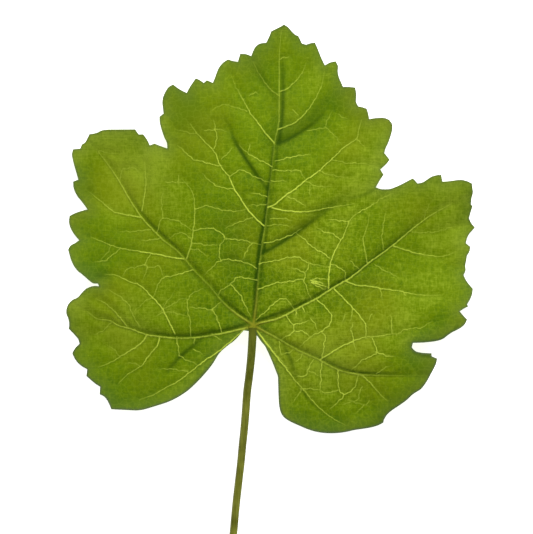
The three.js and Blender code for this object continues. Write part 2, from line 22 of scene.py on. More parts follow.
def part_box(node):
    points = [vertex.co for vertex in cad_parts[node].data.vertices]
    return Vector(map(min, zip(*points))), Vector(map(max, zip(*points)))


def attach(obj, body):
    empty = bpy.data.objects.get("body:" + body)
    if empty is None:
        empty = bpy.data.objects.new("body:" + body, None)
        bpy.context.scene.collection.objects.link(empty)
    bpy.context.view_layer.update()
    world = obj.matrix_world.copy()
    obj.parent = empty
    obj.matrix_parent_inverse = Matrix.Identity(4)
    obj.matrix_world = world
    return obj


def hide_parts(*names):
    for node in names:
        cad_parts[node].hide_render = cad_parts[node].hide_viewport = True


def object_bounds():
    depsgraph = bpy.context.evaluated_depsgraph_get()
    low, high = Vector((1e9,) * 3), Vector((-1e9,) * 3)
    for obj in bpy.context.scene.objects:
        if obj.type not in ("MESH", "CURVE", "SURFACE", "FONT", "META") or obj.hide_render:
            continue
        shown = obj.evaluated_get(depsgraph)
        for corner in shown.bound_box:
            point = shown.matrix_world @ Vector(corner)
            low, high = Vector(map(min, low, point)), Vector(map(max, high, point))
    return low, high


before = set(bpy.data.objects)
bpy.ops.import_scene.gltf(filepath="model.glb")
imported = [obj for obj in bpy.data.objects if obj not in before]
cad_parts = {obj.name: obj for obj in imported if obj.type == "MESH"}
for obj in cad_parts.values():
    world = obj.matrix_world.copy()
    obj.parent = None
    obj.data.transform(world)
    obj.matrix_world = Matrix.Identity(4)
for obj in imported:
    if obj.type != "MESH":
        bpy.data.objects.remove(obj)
CAD_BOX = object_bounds()

logging.basicConfig(level=logging.INFO, format="%(name)s: %(message)s")
log = logging.getLogger("grape_leaf")

Pixels = Sequence[tuple[float, float]]
METRES_PER_MM = 0.001
CURVE_PIECES = 24  # between two stops of a smooth line, before its points are spaced evenly
LEAST_PLAN_AREA = 1e-4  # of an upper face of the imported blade, doubled; its walls have less
KEEP_INSIDE = 1  # has delaunay_2d_cdt leave out the triangles outside the rim

PHOTO_SIZE = (533, 534)
PHOTO_TIP = (284.0, 24.6)
PHOTO_HUB = (253.5, 325.0)
PHOTO_BLADE_WIDTH = 408.7
BLADE_WIDTH = 150.0
MM_PER_PIXEL = BLADE_WIDTH / PHOTO_BLADE_WIDTH


def places(pixels: Pixels) -> np.ndarray:
    """Turns places on the photograph into places on the leaf.

    Args:
        pixels: The places, in pixels of the photograph, y downwards.

    Returns:
        An array of x and y in millimetres from the hub, y towards the tip.
    """
    found = np.asarray(pixels, float).reshape(-1, 2)
    return (found - PHOTO_HUB) * (MM_PER_PIXEL, -MM_PER_PIXEL)


class Rank(Enum):
    """How stout a vein is where it starts, against a main rib at the hub."""

    MAIN = 1.0
    SIDE = 0.55
    NET = 0.3
    THREAD = 0.17


class Face(Enum):
    """One of the blade's two faces."""

    UPPER = "upper"
    LOWER = "lower"


@dataclass(frozen=True)
class Vein:
    """One vein, from where it leaves its stouter neighbour to its far end.

    Attributes:
        path: Its places on the photograph.
        tint: How far its pale line stands out from the green. At 1 the line's middle has the
            vein's full colour, and above 1 more of its width has.
        rank: How stout it is.
        tints: Its tints at even steps along it, in place of the one tint.
    """

    path: Pixels
    tint: float = 0.6
    rank: Rank = Rank.NET
    tints: tuple[float, ...] = ()


@dataclass(frozen=True)
class Crease:
    """A trough that runs along the blade, with two walls of their own widths.

    Attributes:
        path: Its floor's places on the photograph.
        depth: How deep it is where it starts.
        left: The width of the wall on the left of the path's direction.
        right: The width of the wall on the right.
    """

    path: Pixels
    depth: float
    left: float
    right: float


@dataclass(frozen=True)
class Droop:
    """A place where a lobe sinks to the surface it lies on.

    Attributes:
        place: Its middle on the photograph.
        drop: How far the blade sinks there.
        reach: How far round it the blade sinks.
    """

    place: tuple[float, float]
    drop: float
    reach: float


MIDRIB = (
    (253.5, 325), (256.6, 300), (258.5, 275), (261.8, 247), (265.3, 225), (269.3, 190),
    (272.6, 163), (275, 142), (278.8, 122), (279.3, 92), (279.3, 62), (280, 45), (281.5, 31),
)
LEFT_UPPER_RIB = (
    (253, 324.5), (240, 316), (225, 304), (210, 286.5), (193.3, 269.3), (180, 253.5),
    (160.7, 237.5), (141.5, 217), (129, 198), (117, 177.5), (107.5, 163.7), (98.3, 151.7),
)
LEFT_LOWER_RIB = (
    (252.5, 326), (240, 329.3), (220, 333.6), (200, 336.9), (180, 338.1), (160, 336.5),
    (147, 334.5), (129, 328.3), (119.5, 325.8), (109.7, 320.7), (97.7, 318.8), (88, 312),
)
LEFT_BASE_RIB = (
    (251.5, 327), (245, 329.3), (238, 334.8), (228.9, 343), (216.9, 352.3), (200.2, 363.8),
    (181.6, 378.7), (167.9, 386.4), (154, 394.3), (141, 399),
)
RIGHT_UPPER_RIB = (
    (254.5, 325), (262, 322.3), (280, 317.6), (300, 307), (318, 297.5), (337, 285.2), (350, 278),
    (368, 263.4), (392.6, 245.5), (405, 235), (428, 217.1), (450, 204.5),
)
RIGHT_LOWER_RIB = (
    (254.8, 326), (265, 331.5), (280, 339.5), (295.8, 349), (319.7, 360), (339.2, 370.2),
    (360, 374.5), (378, 375.2), (397, 375.3), (424.5, 375.7),
)
RIGHT_BASE_RIB = (
    (254.5, 327.5), (260.3, 334.8), (270.3, 348.2), (279.8, 360.2), (294.2, 378.8), (308, 395),
    (320, 408.5), (334, 419), (345, 425),
)

# The solid's side ribs. The blade dips a little along each of them.
SIDE_DIPS = (
    ((264.5, 226), (253.5, 216.5), (243, 202.5), (229, 177.5), (220, 165), (213, 149), (196.5, 133),
     (187, 119)),
    ((272.5, 168), (260, 160), (247, 152), (237, 143)),
    ((275, 143), (262, 130), (250, 114), (243.5, 100), (237, 89), (230, 72)),
    ((279.5, 95), (267, 85), (256, 70)),
    ((268.3, 208.5), (283, 198), (306.5, 180.5), (327, 165), (342.5, 149), (355, 139.5),
     (362, 120)),
    ((270, 207.5), (292, 211.8), (317, 210.5), (345, 204.5), (360, 199)),
    ((278.5, 131.5), (292, 124), (304, 114), (317, 97), (323, 80)),
    ((280, 92), (293, 84), (303, 72)),
    ((186, 260), (191.5, 245), (195, 225), (194.5, 200), (188, 183)),
    ((142.5, 213), (145, 198), (146.5, 183), (144.5, 160)),
    ((141.5, 217.5), (125, 214.5), (107, 209.5), (95, 196.5), (85, 190)),
    ((182, 259.5), (160, 255), (137, 250.5), (117, 247.5), (100, 240), (84, 236)),
    ((174, 335), (167, 318), (155, 299), (142, 287.5), (124, 278), (106, 273)),
    ((126.5, 326.5), (115, 313.7), (101, 301), (88, 297)),
    ((147, 334.3), (137, 347), (115, 360), (97, 369)),
    ((160, 337), (153, 352), (142, 366), (126, 378), (115, 388)),
    ((329, 288.5), (329.5, 265), (340, 240), (349, 222), (369, 206.5), (388, 197)),
    ((367, 263), (363.5, 243), (367.5, 220)),
    ((393, 246), (416, 252.5), (440, 255.5), (457, 251)),
    ((346, 281), (365, 285.5), (397, 290.5), (425, 295), (448, 297)),
    ((334, 287.5), (350, 305.5), (365, 322), (365, 336)),
    ((320, 359), (336, 348.7), (354.7, 340.3), (376.7, 336), (397, 334), (424, 324), (445, 318)),
    ((364, 375), (378, 391), (390, 404)),
)

CREASES = (
    Crease(MIDRIB, 1.5, 4.0, 7.0),
    Crease(LEFT_UPPER_RIB, 1.5, 9.0, 3.0),
    Crease(LEFT_LOWER_RIB, 1.7, 9.0, 2.6),
    Crease(LEFT_BASE_RIB, 0.6, 5.0, 5.0),
    Crease(RIGHT_UPPER_RIB, 1.6, 2.8, 9.0),
    Crease(RIGHT_LOWER_RIB, 1.5, 2.8, 7.0),
    Crease(RIGHT_BASE_RIB, 0.8, 5.0, 5.0),
    *(Crease(path, 0.45, 3.2, 3.2) for path in SIDE_DIPS),
    Crease(((230, 128), (240, 150), (255, 175), (267, 192)), 0.9, 2.4, 4.0),
    Crease(((277, 143), (290, 138.5), (305, 131), (320, 119), (334, 104)), 1.3, 4.5, 7.0),
    Crease(((264, 252), (288, 240), (310, 225), (330, 209), (345, 195), (374, 189)), 1.2, 4.0, 6.0),
    Crease(((206, 338), (190, 350), (176, 362), (162, 376)), 0.9, 4.0, 3.0),
    Crease(((286, 346), (291, 360), (296, 380)), 0.6, 3.0, 2.4),
)

DROOPS = (
    Droop((286, 46), 8.7, 34.0),
    Droop((80, 200), 9.1, 32.0),
    Droop((94, 376), 9.6, 28.0),
    Droop((340, 428), 9.4, 28.0),
    Droop((466, 250), 9.1, 34.0),
)

MAIN_VEINS = (
    Vein(MIDRIB, rank=Rank.MAIN, tints=(0.15, 0.13, 0.16, 0.2, 0.07, 0.2, 0.47, 0.62, 0.78)),
    Vein(LEFT_UPPER_RIB, rank=Rank.MAIN, tints=(0.6, 0.28, 0.15, 0.17, 0.3, 0.58, 0.72, 0.87, 1.0)),
    Vein(LEFT_LOWER_RIB, rank=Rank.MAIN,
         tints=(0.65, 0.66, 0.58, 0.55, 0.67, 0.8, 0.9, 0.95, 0.95)),
    Vein(LEFT_BASE_RIB, rank=Rank.SIDE, tints=(0.6, 0.6, 0.85, 1.0, 1.0, 1.0, 1.0, 0.95, 0.9)),
    Vein(RIGHT_UPPER_RIB, rank=Rank.MAIN, tints=(0.7, 0.7, 0.72, 0.75, 0.75, 0.75, 0.85, 1.0, 1.0)),
    Vein(RIGHT_LOWER_RIB, rank=Rank.MAIN, tints=(0.45, 0.3, 0.3, 0.35, 0.4, 0.45, 0.3, 0.15, 0.2)),
    Vein(RIGHT_BASE_RIB, rank=Rank.SIDE, tints=(1.4, 1.25, 1.1, 1.0, 0.85, 0.7, 0.9, 1.05, 0.9)),
    Vein(((256.3, 329.5), (262, 337.3), (272, 350), (282, 361), (290, 371)), rank=Rank.SIDE,
         tints=(0.95, 0.4)),
)

SIDE_VEINS = (
    Vein(((264, 226), (255, 218), (247, 208.5), (241, 199.5), (234.5, 189), (229.5, 178),
          (221, 166.5), (215, 153), (206, 143), (197, 133.5), (191, 125)), 1.0, Rank.SIDE),
    Vein(((274, 143), (263.5, 131), (257, 122), (250, 112.5), (243, 100), (238, 91)), 0.8,
         Rank.SIDE),
    Vein(((244, 102), (239, 93), (234, 82), (231, 74)), 0.25, Rank.THREAD),
    Vein(((279, 96), (269, 88), (262, 78.5), (257, 70), (253, 62)), 0.3, Rank.SIDE),
    Vein(((268, 207.5), (275, 204.5), (286, 195.5), (296, 188.5), (306, 180.5), (319, 171),
          (331, 160), (343, 148.5), (356, 139), (358.5, 130), (361, 121)), 1.0, Rank.SIDE),
    Vein(((356, 139.5), (359, 143), (364, 147)), 0.4, Rank.THREAD),
    Vein(((272, 208), (285, 211), (300, 212), (315, 211), (325, 208.5), (345, 205.5), (353, 204)),
         0.85, Rank.SIDE),
    Vein(((277.5, 130), (288, 126), (296, 122), (304, 115), (311, 105.5), (317, 96), (322, 84),
          (324, 73)), 0.6, Rank.SIDE),
    Vein(((279, 92), (287, 89), (293, 84), (299, 77), (304, 69), (306, 63)), 0.5, Rank.SIDE),
    Vein(((187, 259), (191, 246), (193.5, 232), (195, 212), (194, 197), (190, 188), (183, 180)),
         0.6, Rank.SIDE),
    Vein(((142, 211), (144.5, 197), (146, 183), (146, 176), (145, 163)), 0.6, Rank.SIDE),
    Vein(((141, 217.5), (122, 214), (112, 210.5), (103, 203), (97, 198), (90, 192.5)),
         0.65, Rank.SIDE),
    Vein(((184, 259), (170, 257), (150, 253), (130, 250), (113, 246), (101, 241), (91, 237)),
         0.8, Rank.SIDE),
    Vein(((175, 333), (169, 321), (163, 309), (153, 297.5), (142, 286.5), (130, 281.5),
          (117, 275.5), (107, 274.5)), 1.0, Rank.SIDE),
    Vein(((127, 326), (118, 315), (106, 303.5), (97, 299)), 0.6, Rank.SIDE),
    Vein(((147, 335), (142, 342.5), (131, 350), (120, 357), (109, 363), (98, 367.5)),
         0.75, Rank.SIDE),
    Vein(((160, 337), (157, 346), (148, 357), (141, 366), (127, 375), (118, 384)),
         0.75, Rank.SIDE),
    Vein(((328.5, 288), (328.5, 278), (331, 260), (336.5, 248), (343, 236), (348.5, 223),
          (353, 216.5), (358, 213)), 0.95, Rank.SIDE),
    Vein(((358, 213), (364, 210), (369, 206.5), (374, 203.5)), 0.8),
    Vein(((372, 205), (381, 199), (392, 194)), 0.35, Rank.THREAD),
    Vein(((367, 263), (365, 252), (363, 240), (367, 226), (369, 214)), 0.5, Rank.SIDE),
    Vein(((393, 246), (405, 250), (418, 253.5), (438, 256.5), (449, 254.5), (456, 251.5)), 0.6,
         Rank.SIDE),
    Vein(((345, 281), (356, 285), (370, 286.5), (388, 289.5), (402, 291.5), (420, 295),
          (440, 295)), 0.7, Rank.SIDE),
    Vein(((333, 288), (343, 298), (352, 307), (361, 318), (365.5, 325), (365.5, 337)),
         rank=Rank.SIDE, tints=(0.8, 0.8, 0.9, 1.2, 2.0)),
    Vein(((320, 359.5), (331, 352.5), (343, 345.5), (354, 340.5), (365, 337), (377, 336),
          (391, 334), (400, 333.5)), 1.0, Rank.SIDE),
    Vein(((397, 334), (403, 330.5), (412, 328), (422, 327), (431, 321.5)), 0.55, Rank.THREAD),
    Vein(((362, 375), (370, 382.5), (378, 392), (387, 400.5)), 0.6, Rank.SIDE),
)

NET_VEINS = (
    Vein(((221, 166.5), (208, 163.5), (195, 160), (185, 152), (178, 146)), 0.7),
    Vein(((214.5, 148.5), (217, 136), (213.5, 120)), 0.6),
    Vein(((230, 177), (235, 173.5), (243, 170), (254, 177), (271, 183)), 0.65),
    Vein(((222, 159), (229, 152.5), (233, 148)), 0.5),
    Vein(((234, 189), (221, 188), (215, 185), (208, 179), (203, 174)), 0.6),
    Vein(((253, 218), (242, 221), (235, 224), (225, 229)), 0.5),
    Vein(((249.5, 96), (253, 94.5), (255.5, 92), (258, 94)), 0.45),
    Vein(((247, 112), (241, 109), (234, 107.5), (228, 105)), 0.45),
    Vein(((229, 105), (221, 106), (211, 111.5)), 0.3, Rank.THREAD),
    Vein(((272, 167), (263, 161.5), (255, 158.5), (246, 152), (240, 146)), 0.75),
    Vein(((267, 197), (260, 195), (251, 193.5)), 0.6),
    Vein(((266, 205), (255, 205), (249, 206)), 0.5),
    Vein(((256, 268), (250, 264.5), (238, 260.5), (221, 260.5), (213, 266.5), (205, 275)), 0.75),
    Vein(((221, 261), (219.5, 248), (224, 240), (226.5, 238)), 0.7),
    Vein(((252, 244), (248, 249), (245, 254), (243, 260)), 0.55),
    Vein(((257, 280), (245, 278), (236, 278), (230.5, 284), (222, 290), (217.5, 296)), 0.75),
    Vein(((231, 284), (236, 290), (240, 295), (244, 302), (247, 308), (251, 317)), 0.85),
    Vein(((194, 231), (209, 228), (221, 233), (226.5, 238), (245, 241), (262, 245)), 0.8),
    Vein(((195, 209.5), (207, 206.5), (219, 209), (230, 211.5), (240, 211), (248, 208.5)), 0.6),
    Vein(((192, 239), (184, 234), (177, 233.5), (169, 239)), 0.45),
    Vein(((191, 249), (200, 251), (207, 256)), 0.45),
    Vein(((193, 270), (180, 274), (164, 278), (157, 288), (154, 297)), 0.7),
    Vein(((161, 238), (150, 240), (141, 241)), 0.45),
    Vein(((121, 248.5), (113, 255), (103, 261), (95, 262)), 0.55),
    Vein(((145, 264.5), (128, 269.5), (123, 276)), 0.5),
    Vein(((151, 254), (146, 264), (147, 270), (143, 280)), 0.5),
    Vein(((111, 246), (106, 255), (99, 262)), 0.3, Rank.THREAD),
    Vein(((177, 337), (179, 352), (180.5, 356), (193, 362), (198, 365)), 0.7),
    Vein(((194, 337), (194.5, 344)), 0.6),
    Vein(((139, 325), (134, 316), (129.5, 306), (120, 296), (109, 290)), 0.5),
    Vein(((191, 335), (190, 318), (188, 307), (189.5, 296), (203, 288.5)), 0.6),
    Vein(((222, 332), (218, 319), (213, 309.5), (221, 302)), 0.75),
    Vein(((213, 310), (203, 308.5), (190, 306.5)), 0.65),
    Vein(((188, 371), (174, 369), (158, 369)), 0.45),
    Vein(((264, 243), (277, 240.5), (288, 236.5), (301, 229)), 0.8),
    Vein(((259, 264), (270, 261.5), (288, 258), (300, 257.5), (309, 263.5), (329, 267)), 0.75),
    Vein(((258, 289), (275, 283.5), (290, 281), (303, 280.5), (308, 292), (311, 299)), 0.85),
    Vein(((304, 280), (304.5, 273), (292, 268)), 0.8),
    Vein(((308.5, 264.5), (307.5, 269), (305, 274)), 0.7, Rank.THREAD),
    Vein(((256, 320), (265, 311.5), (276, 302), (285, 298), (291, 304.5), (294, 309)), 0.85),
    Vein(((276, 161), (286, 159), (300, 155.5), (310, 155)), 0.75),
    Vein(((273, 170.5), (290, 171), (299, 171.5), (306, 180.5)), 0.6),
    Vein(((288, 197), (300, 203), (306, 207)), 0.6),
    Vein(((310, 186), (310, 198)), 0.4, Rank.THREAD),
    Vein(((271, 219), (285, 219), (293, 221)), 0.5),
    Vein(((340, 240), (333, 234.5), (324, 231.5), (317, 228)), 0.75),
    Vein(((348.5, 222), (340, 220.5), (328, 220)), 0.75),
    Vein(((329, 258), (321, 252), (312, 246.5), (301, 237), (296, 233)), 0.9),
    Vein(((330, 264), (342, 269), (345, 273), (345, 279)), 0.8),
    Vein(((311, 280.4), (316, 281.2), (320, 282.6), (324, 284)), 1.2, Rank.SIDE),
    Vein(((311.5, 282.4), (316, 283.4), (321, 285), (327, 287)), 1.2, Rank.SIDE),
    Vein(((312, 279), (318, 278.5), (328, 279.5)), 0.8),
    Vein(((312, 283), (316, 285.5), (322, 288), (327, 289)), 0.8),
    Vein(((383, 249), (382, 236), (383, 223), (386, 212)), 0.45),
    Vein(((375, 265), (385, 270.5), (397, 277)), 0.5),
    Vein(((317, 300), (327, 309), (332, 317), (328.5, 324.5), (320, 332), (310, 337), (300, 346)),
         0.95),
    Vein(((286, 315), (293, 325), (293, 331), (282, 339)), 0.9),
    Vein(((293, 324.5), (300, 323.5), (309, 320)), 0.75, Rank.THREAD),
    Vein(((294, 331), (303, 331), (310, 337)), 0.9),
    Vein(((391.7, 333), (391.3, 321), (390.5, 316)), 0.8),
    Vein(((372, 338), (376, 352), (362, 360.5), (351, 370)), 1.0),
    Vein(((376, 352), (383, 354.5), (394, 356)), 0.85),
    Vein(((353, 340), (351.5, 330), (353, 322)), 0.95),
    Vein(((322, 358), (324, 342), (325.5, 336), (321, 331)), 0.95),
    Vein(((338, 370), (338.5, 388), (344, 395), (337, 402.5), (330, 409)), 1.0),
    Vein(((344.5, 394.5), (353, 389), (358, 378), (358, 374)), 0.85),
    Vein(((338, 390), (327, 392.5), (319, 390)), 0.6),
    Vein(((322, 362), (320.5, 380), (320, 392)), 0.9),
    Vein(((301, 389), (311, 389), (320, 389.5)), 0.75),
    Vein(((297, 376), (306, 374.5), (310, 365), (315, 358)), 0.8),
    Vein(((309, 371), (318, 375), (321, 374)), 0.5, Rank.THREAD),
    Vein(((296, 361), (301, 356.5), (304, 352)), 0.5),
    Vein(((301, 390), (298, 395), (293, 402)), 0.5),
    Vein(((412, 232), (430, 232.5), (457, 226)), 0.35, Rank.THREAD),
    Vein(((424, 220), (426, 210), (430, 202)), 0.3, Rank.THREAD),
    Vein(((376, 373.5), (382, 369.5), (389, 366)), 0.5),
    Vein(((280, 59.5), (284, 57.5), (289, 56.5)), 0.5, Rank.THREAD),
    Vein(((293, 110), (296, 113), (298, 117)), 0.45, Rank.THREAD),
    Vein(((308, 131), (317, 129), (325, 127.5), (328, 119), (332, 111)), 0.35, Rank.THREAD),
    Vein(((325, 127.5), (332, 134), (337, 139), (342, 146)), 0.35, Rank.THREAD),
    Vein(((339, 115), (343, 118), (348, 119.5)), 0.35, Rank.THREAD),
    Vein(((331, 160), (345, 163), (360, 164), (374, 166)), 0.4),
    Vein(((319, 171), (332, 176), (348, 178)), 0.4),
    Vein(((197, 134), (188, 133), (176, 130)), 0.25),
    Vein(((120, 179), (122, 171), (127, 169), (134, 168), (140, 172.5)), 0.4, Rank.THREAD),
    Vein(((99, 151), (108, 152.5), (117, 154)), 0.3, Rank.THREAD),
    Vein(((167, 182.5), (180, 183), (190, 183.5)), 0.45, Rank.THREAD),
    Vein(((179, 177), (179, 185)), 0.6, Rank.THREAD),
    Vein(((157, 234), (160, 224), (162.5, 217), (162, 203), (164, 190)), 0.45),
    Vein(((162.5, 218), (175, 220), (184, 225), (193, 231)), 0.5),
    Vein(((192, 243), (206, 245), (219, 244.5)), 0.5, Rank.THREAD),
    Vein(((145, 265.5), (153, 267), (160, 266.5), (162, 273), (164, 278)), 0.4, Rank.THREAD),
    Vein(((158, 315), (168, 311.7), (178, 313), (188, 316.7)), 0.4, Rank.THREAD),
    Vein(((151, 230), (135, 231), (120, 232)), 0.4, Rank.THREAD),
    Vein(((162, 311), (167, 302), (173, 294)), 0.4, Rank.THREAD),
    Vein(((205, 131), (216.5, 130), (226.7, 131.7)), 0.4, Rank.THREAD),
    Vein(((250, 145), (248, 153)), 0.5, Rank.THREAD),
    Vein(((271, 181), (278, 181.5), (287, 181.7)), 0.5, Rank.THREAD),
    Vein(((306, 182), (318, 186.5), (331, 187)), 0.4, Rank.THREAD),
    Vein(((267, 226), (280, 225), (293, 227)), 0.45, Rank.THREAD),
    Vein(((301.5, 306), (303.5, 308), (305, 312.5)), 0.9),
    Vein(((294.5, 309), (295.5, 312), (296, 316)), 0.8, Rank.THREAD),
    Vein(((310.5, 318.5), (313, 321), (316, 325), (317, 330)), 0.7, Rank.THREAD),
    Vein(((352.5, 309), (351, 315), (349.5, 322)), 0.6, Rank.THREAD),
    Vein(((350.5, 261), (356, 266), (360, 270)), 0.55, Rank.THREAD),
    Vein(((342.5, 321), (346, 314)), 0.45, Rank.THREAD),
    Vein(((371.5, 314), (368.5, 321.5)), 0.45, Rank.THREAD),
    Vein(((279, 341), (280, 348), (281, 354)), 0.6, Rank.THREAD),
    Vein(((281, 353.5), (287, 353), (294, 349.5)), 0.5, Rank.THREAD),
    Vein(((351, 372.5), (357, 374), (364, 376.5)), 0.7),
    Vein(((402, 291), (406, 295.5)), 0.5, Rank.THREAD),
    Vein(((380, 289), (382, 299)), 0.4, Rank.THREAD),
    Vein(((353, 340), (355, 352)), 0.5, Rank.THREAD),
    Vein(((112, 322), (104, 330), (93, 335)), 0.4),
    Vein(((120, 357), (115, 350), (107, 345)), 0.3, Rank.THREAD),
    Vein(((140, 366), (133, 363), (126, 364)), 0.3, Rank.THREAD),
    Vein(((163, 309), (172, 305), (180, 299), (188, 299)), 0.4, Rank.THREAD),
    Vein(((153, 297.5), (143, 303), (134, 312)), 0.35, Rank.THREAD),
    Vein(((345, 404), (354, 402), (369, 406)), 0.3, Rank.THREAD),
    Vein(((362, 387), (359, 394), (356, 401), (348, 400)), 0.45, Rank.THREAD),
    Vein(((369, 401), (363, 407), (356, 413)), 0.4, Rank.THREAD),
    Vein(((194, 349), (202, 353.5)), 0.5, Rank.THREAD),
    Vein(((213, 334), (222, 340)), 0.5, Rank.THREAD),
)

PETIOLE_PATH = (
    (252.85, 327.5), (252.85, 330.8), (252.6, 337), (252.1, 347), (251, 361), (249.2, 377),
    (247.3, 392), (245.9, 411), (244.3, 430), (242.6, 446), (241, 463), (238.8, 482), (236.2, 505),
    (233.5, 534), (230.4, 560), (227.2, 584),
)


@dataclass(frozen=True)
class Tone:
    """A part of the blade that is a paler or a darker green than the rest.

    Attributes:
        place: Its middle on the photograph.
        reach: How far it spreads.
        light: How much paler it is. Below 0 it is darker.
    """

    place: tuple[float, float]
    reach: float
    light: float


# Soft round patches of paler and darker green: partly the photographed leaf's own uneven green, and
# partly painted shade and highlight. Their places and strengths were set with the help of a blurred
# difference between the photograph and a render.
TONES = (
    Tone((284, 38), 6, 0.3),
    Tone((338, 98), 14, -0.2),
    Tone((350, 93), 7, -0.8),
    Tone((318, 127), 5, -0.5),
    Tone((285, 75), 16, -0.3),
    Tone((256, 61), 8, -0.65),
    Tone((322, 70), 7, 0.4),
    Tone((290, 150), 8, -0.45),
    Tone((195, 123), 9.5, -1.15),
    Tone((178, 98), 8, -0.75),
    Tone((163, 125), 4, 0.6),
    Tone((190, 161), 4, -0.4),
    Tone((138, 147), 4, -0.4),
    Tone((375, 155), 14, 0.55),
    Tone((450, 215), 11, 0.5),
    Tone((449, 184), 5, 0.45),
    Tone((357, 188), 4, 0.45),
    Tone((395, 275), 14, -0.2),
    Tone((368, 285), 8, -0.4),
    Tone((352, 295), 6.5, -0.6),
    Tone((320, 314), 6, -0.5),
    Tone((469, 293), 4, -0.4),
    Tone((425, 290), 8, 0.35),
    Tone((440, 325), 7, -0.6),
    Tone((430, 356), 8, -1.35),
    Tone((336, 160), 5.5, -0.4),
    Tone((340, 218), 5, 0.4),
    Tone((204, 176), 5, -0.4),
    Tone((359, 118), 5.5, -0.4),
    Tone((460, 246), 5.5, 0.5),
    Tone((291, 194), 4, 0.4),
    Tone((178, 210), 6, 0.3),
    Tone((76, 156), 3.5, 0.45),
    Tone((404, 344), 2.5, 0.6),
    Tone((340, 303), 2.5, -0.45),
    Tone((428, 251), 3, 0.4),
    Tone((252, 286), 3, -0.35),
    Tone((266, 140), 3.5, -0.45),
    Tone((110, 402), 4, -0.4),
    Tone((236, 322), 3, -0.5),
    Tone((263, 327.5), 1.6, -0.45),
    Tone((468, 211), 3, -0.45),
    Tone((189, 371), 3, 0.45),
    Tone((87, 276), 3, -0.45),
    Tone((272, 240), 3, 0.35),
    Tone((408, 358), 10, -0.35),
    Tone((325, 350), 16, 0.7),
    Tone((316, 351), 4, 0.35),
    Tone((350, 366), 4, 0.3),
    Tone((375, 330), 10, 0.35),
    Tone((337, 432), 10, -0.6),
    Tone((313, 428), 5, -0.4),
    Tone((300, 415), 7, -0.3),
    Tone((378, 405), 8, -0.4),
    Tone((115, 400), 12, -0.7),
    Tone((90, 360), 7, -0.3),
    Tone((125, 325), 12, 0.45),
    Tone((80, 303), 5, 0.9),
    Tone((90, 299), 3.5, -0.6),
    Tone((95, 274), 6, -0.9),
    Tone((100, 240), 13, -0.35),
    Tone((150, 243), 8, -0.3),
    Tone((140, 174), 12, 0.8),
    Tone((155, 155), 6, 0.35),
    Tone((113, 210), 5, 0.35),
    Tone((90, 140), 6, 0.4),
    Tone((112, 135), 12, 0.5),
    Tone((86, 184), 8, -0.75),
    Tone((281, 128), 5, -1.0),
    Tone((232, 222), 12, -0.65),
    Tone((228, 246), 18, -0.3),
    Tone((228, 266), 4, -0.6),
    Tone((214, 277), 4.5, 0.5),
    Tone((249, 179), 3.5, -0.55),
    Tone((321, 87), 4, 0.4),
    Tone((334, 101), 4, -0.45),
    Tone((151, 404), 5, -0.4),
    Tone((332, 430), 5, -0.4),
    Tone((290, 418), 6, -0.4),
    Tone((410, 322), 6, 0.45),
    Tone((210, 105), 3.5, 0.4),
    Tone((328, 250), 3.5, 0.4),
    Tone((271, 108), 5, -0.35),
    Tone((251, 70), 4, -0.35),
    Tone((296, 39), 4, -0.35),
    Tone((291, 90), 3, -0.3),
    Tone((462, 269), 4, -0.35),
    Tone((96, 157), 4, -0.35),
    Tone((198, 236), 5, 0.45),
    Tone((222, 302), 13, -0.3),
    Tone((262, 215), 8, -0.3),
    Tone((262, 272), 6, -0.5),
    Tone((200, 352), 9, -0.4),
)


@dataclass(frozen=True)
class Shadow:
    """A strip of painted shade, a deeper green where the blade turns down into a crease.

    Attributes:
        path: Its places on the photograph.
        reach: Half its width.
        dark: How deep the green is at even steps along it. At 1 the strip's middle has the
            crease's full colour, and above 1 more of its width has.
    """

    path: Pixels
    reach: float
    dark: tuple[float, ...]
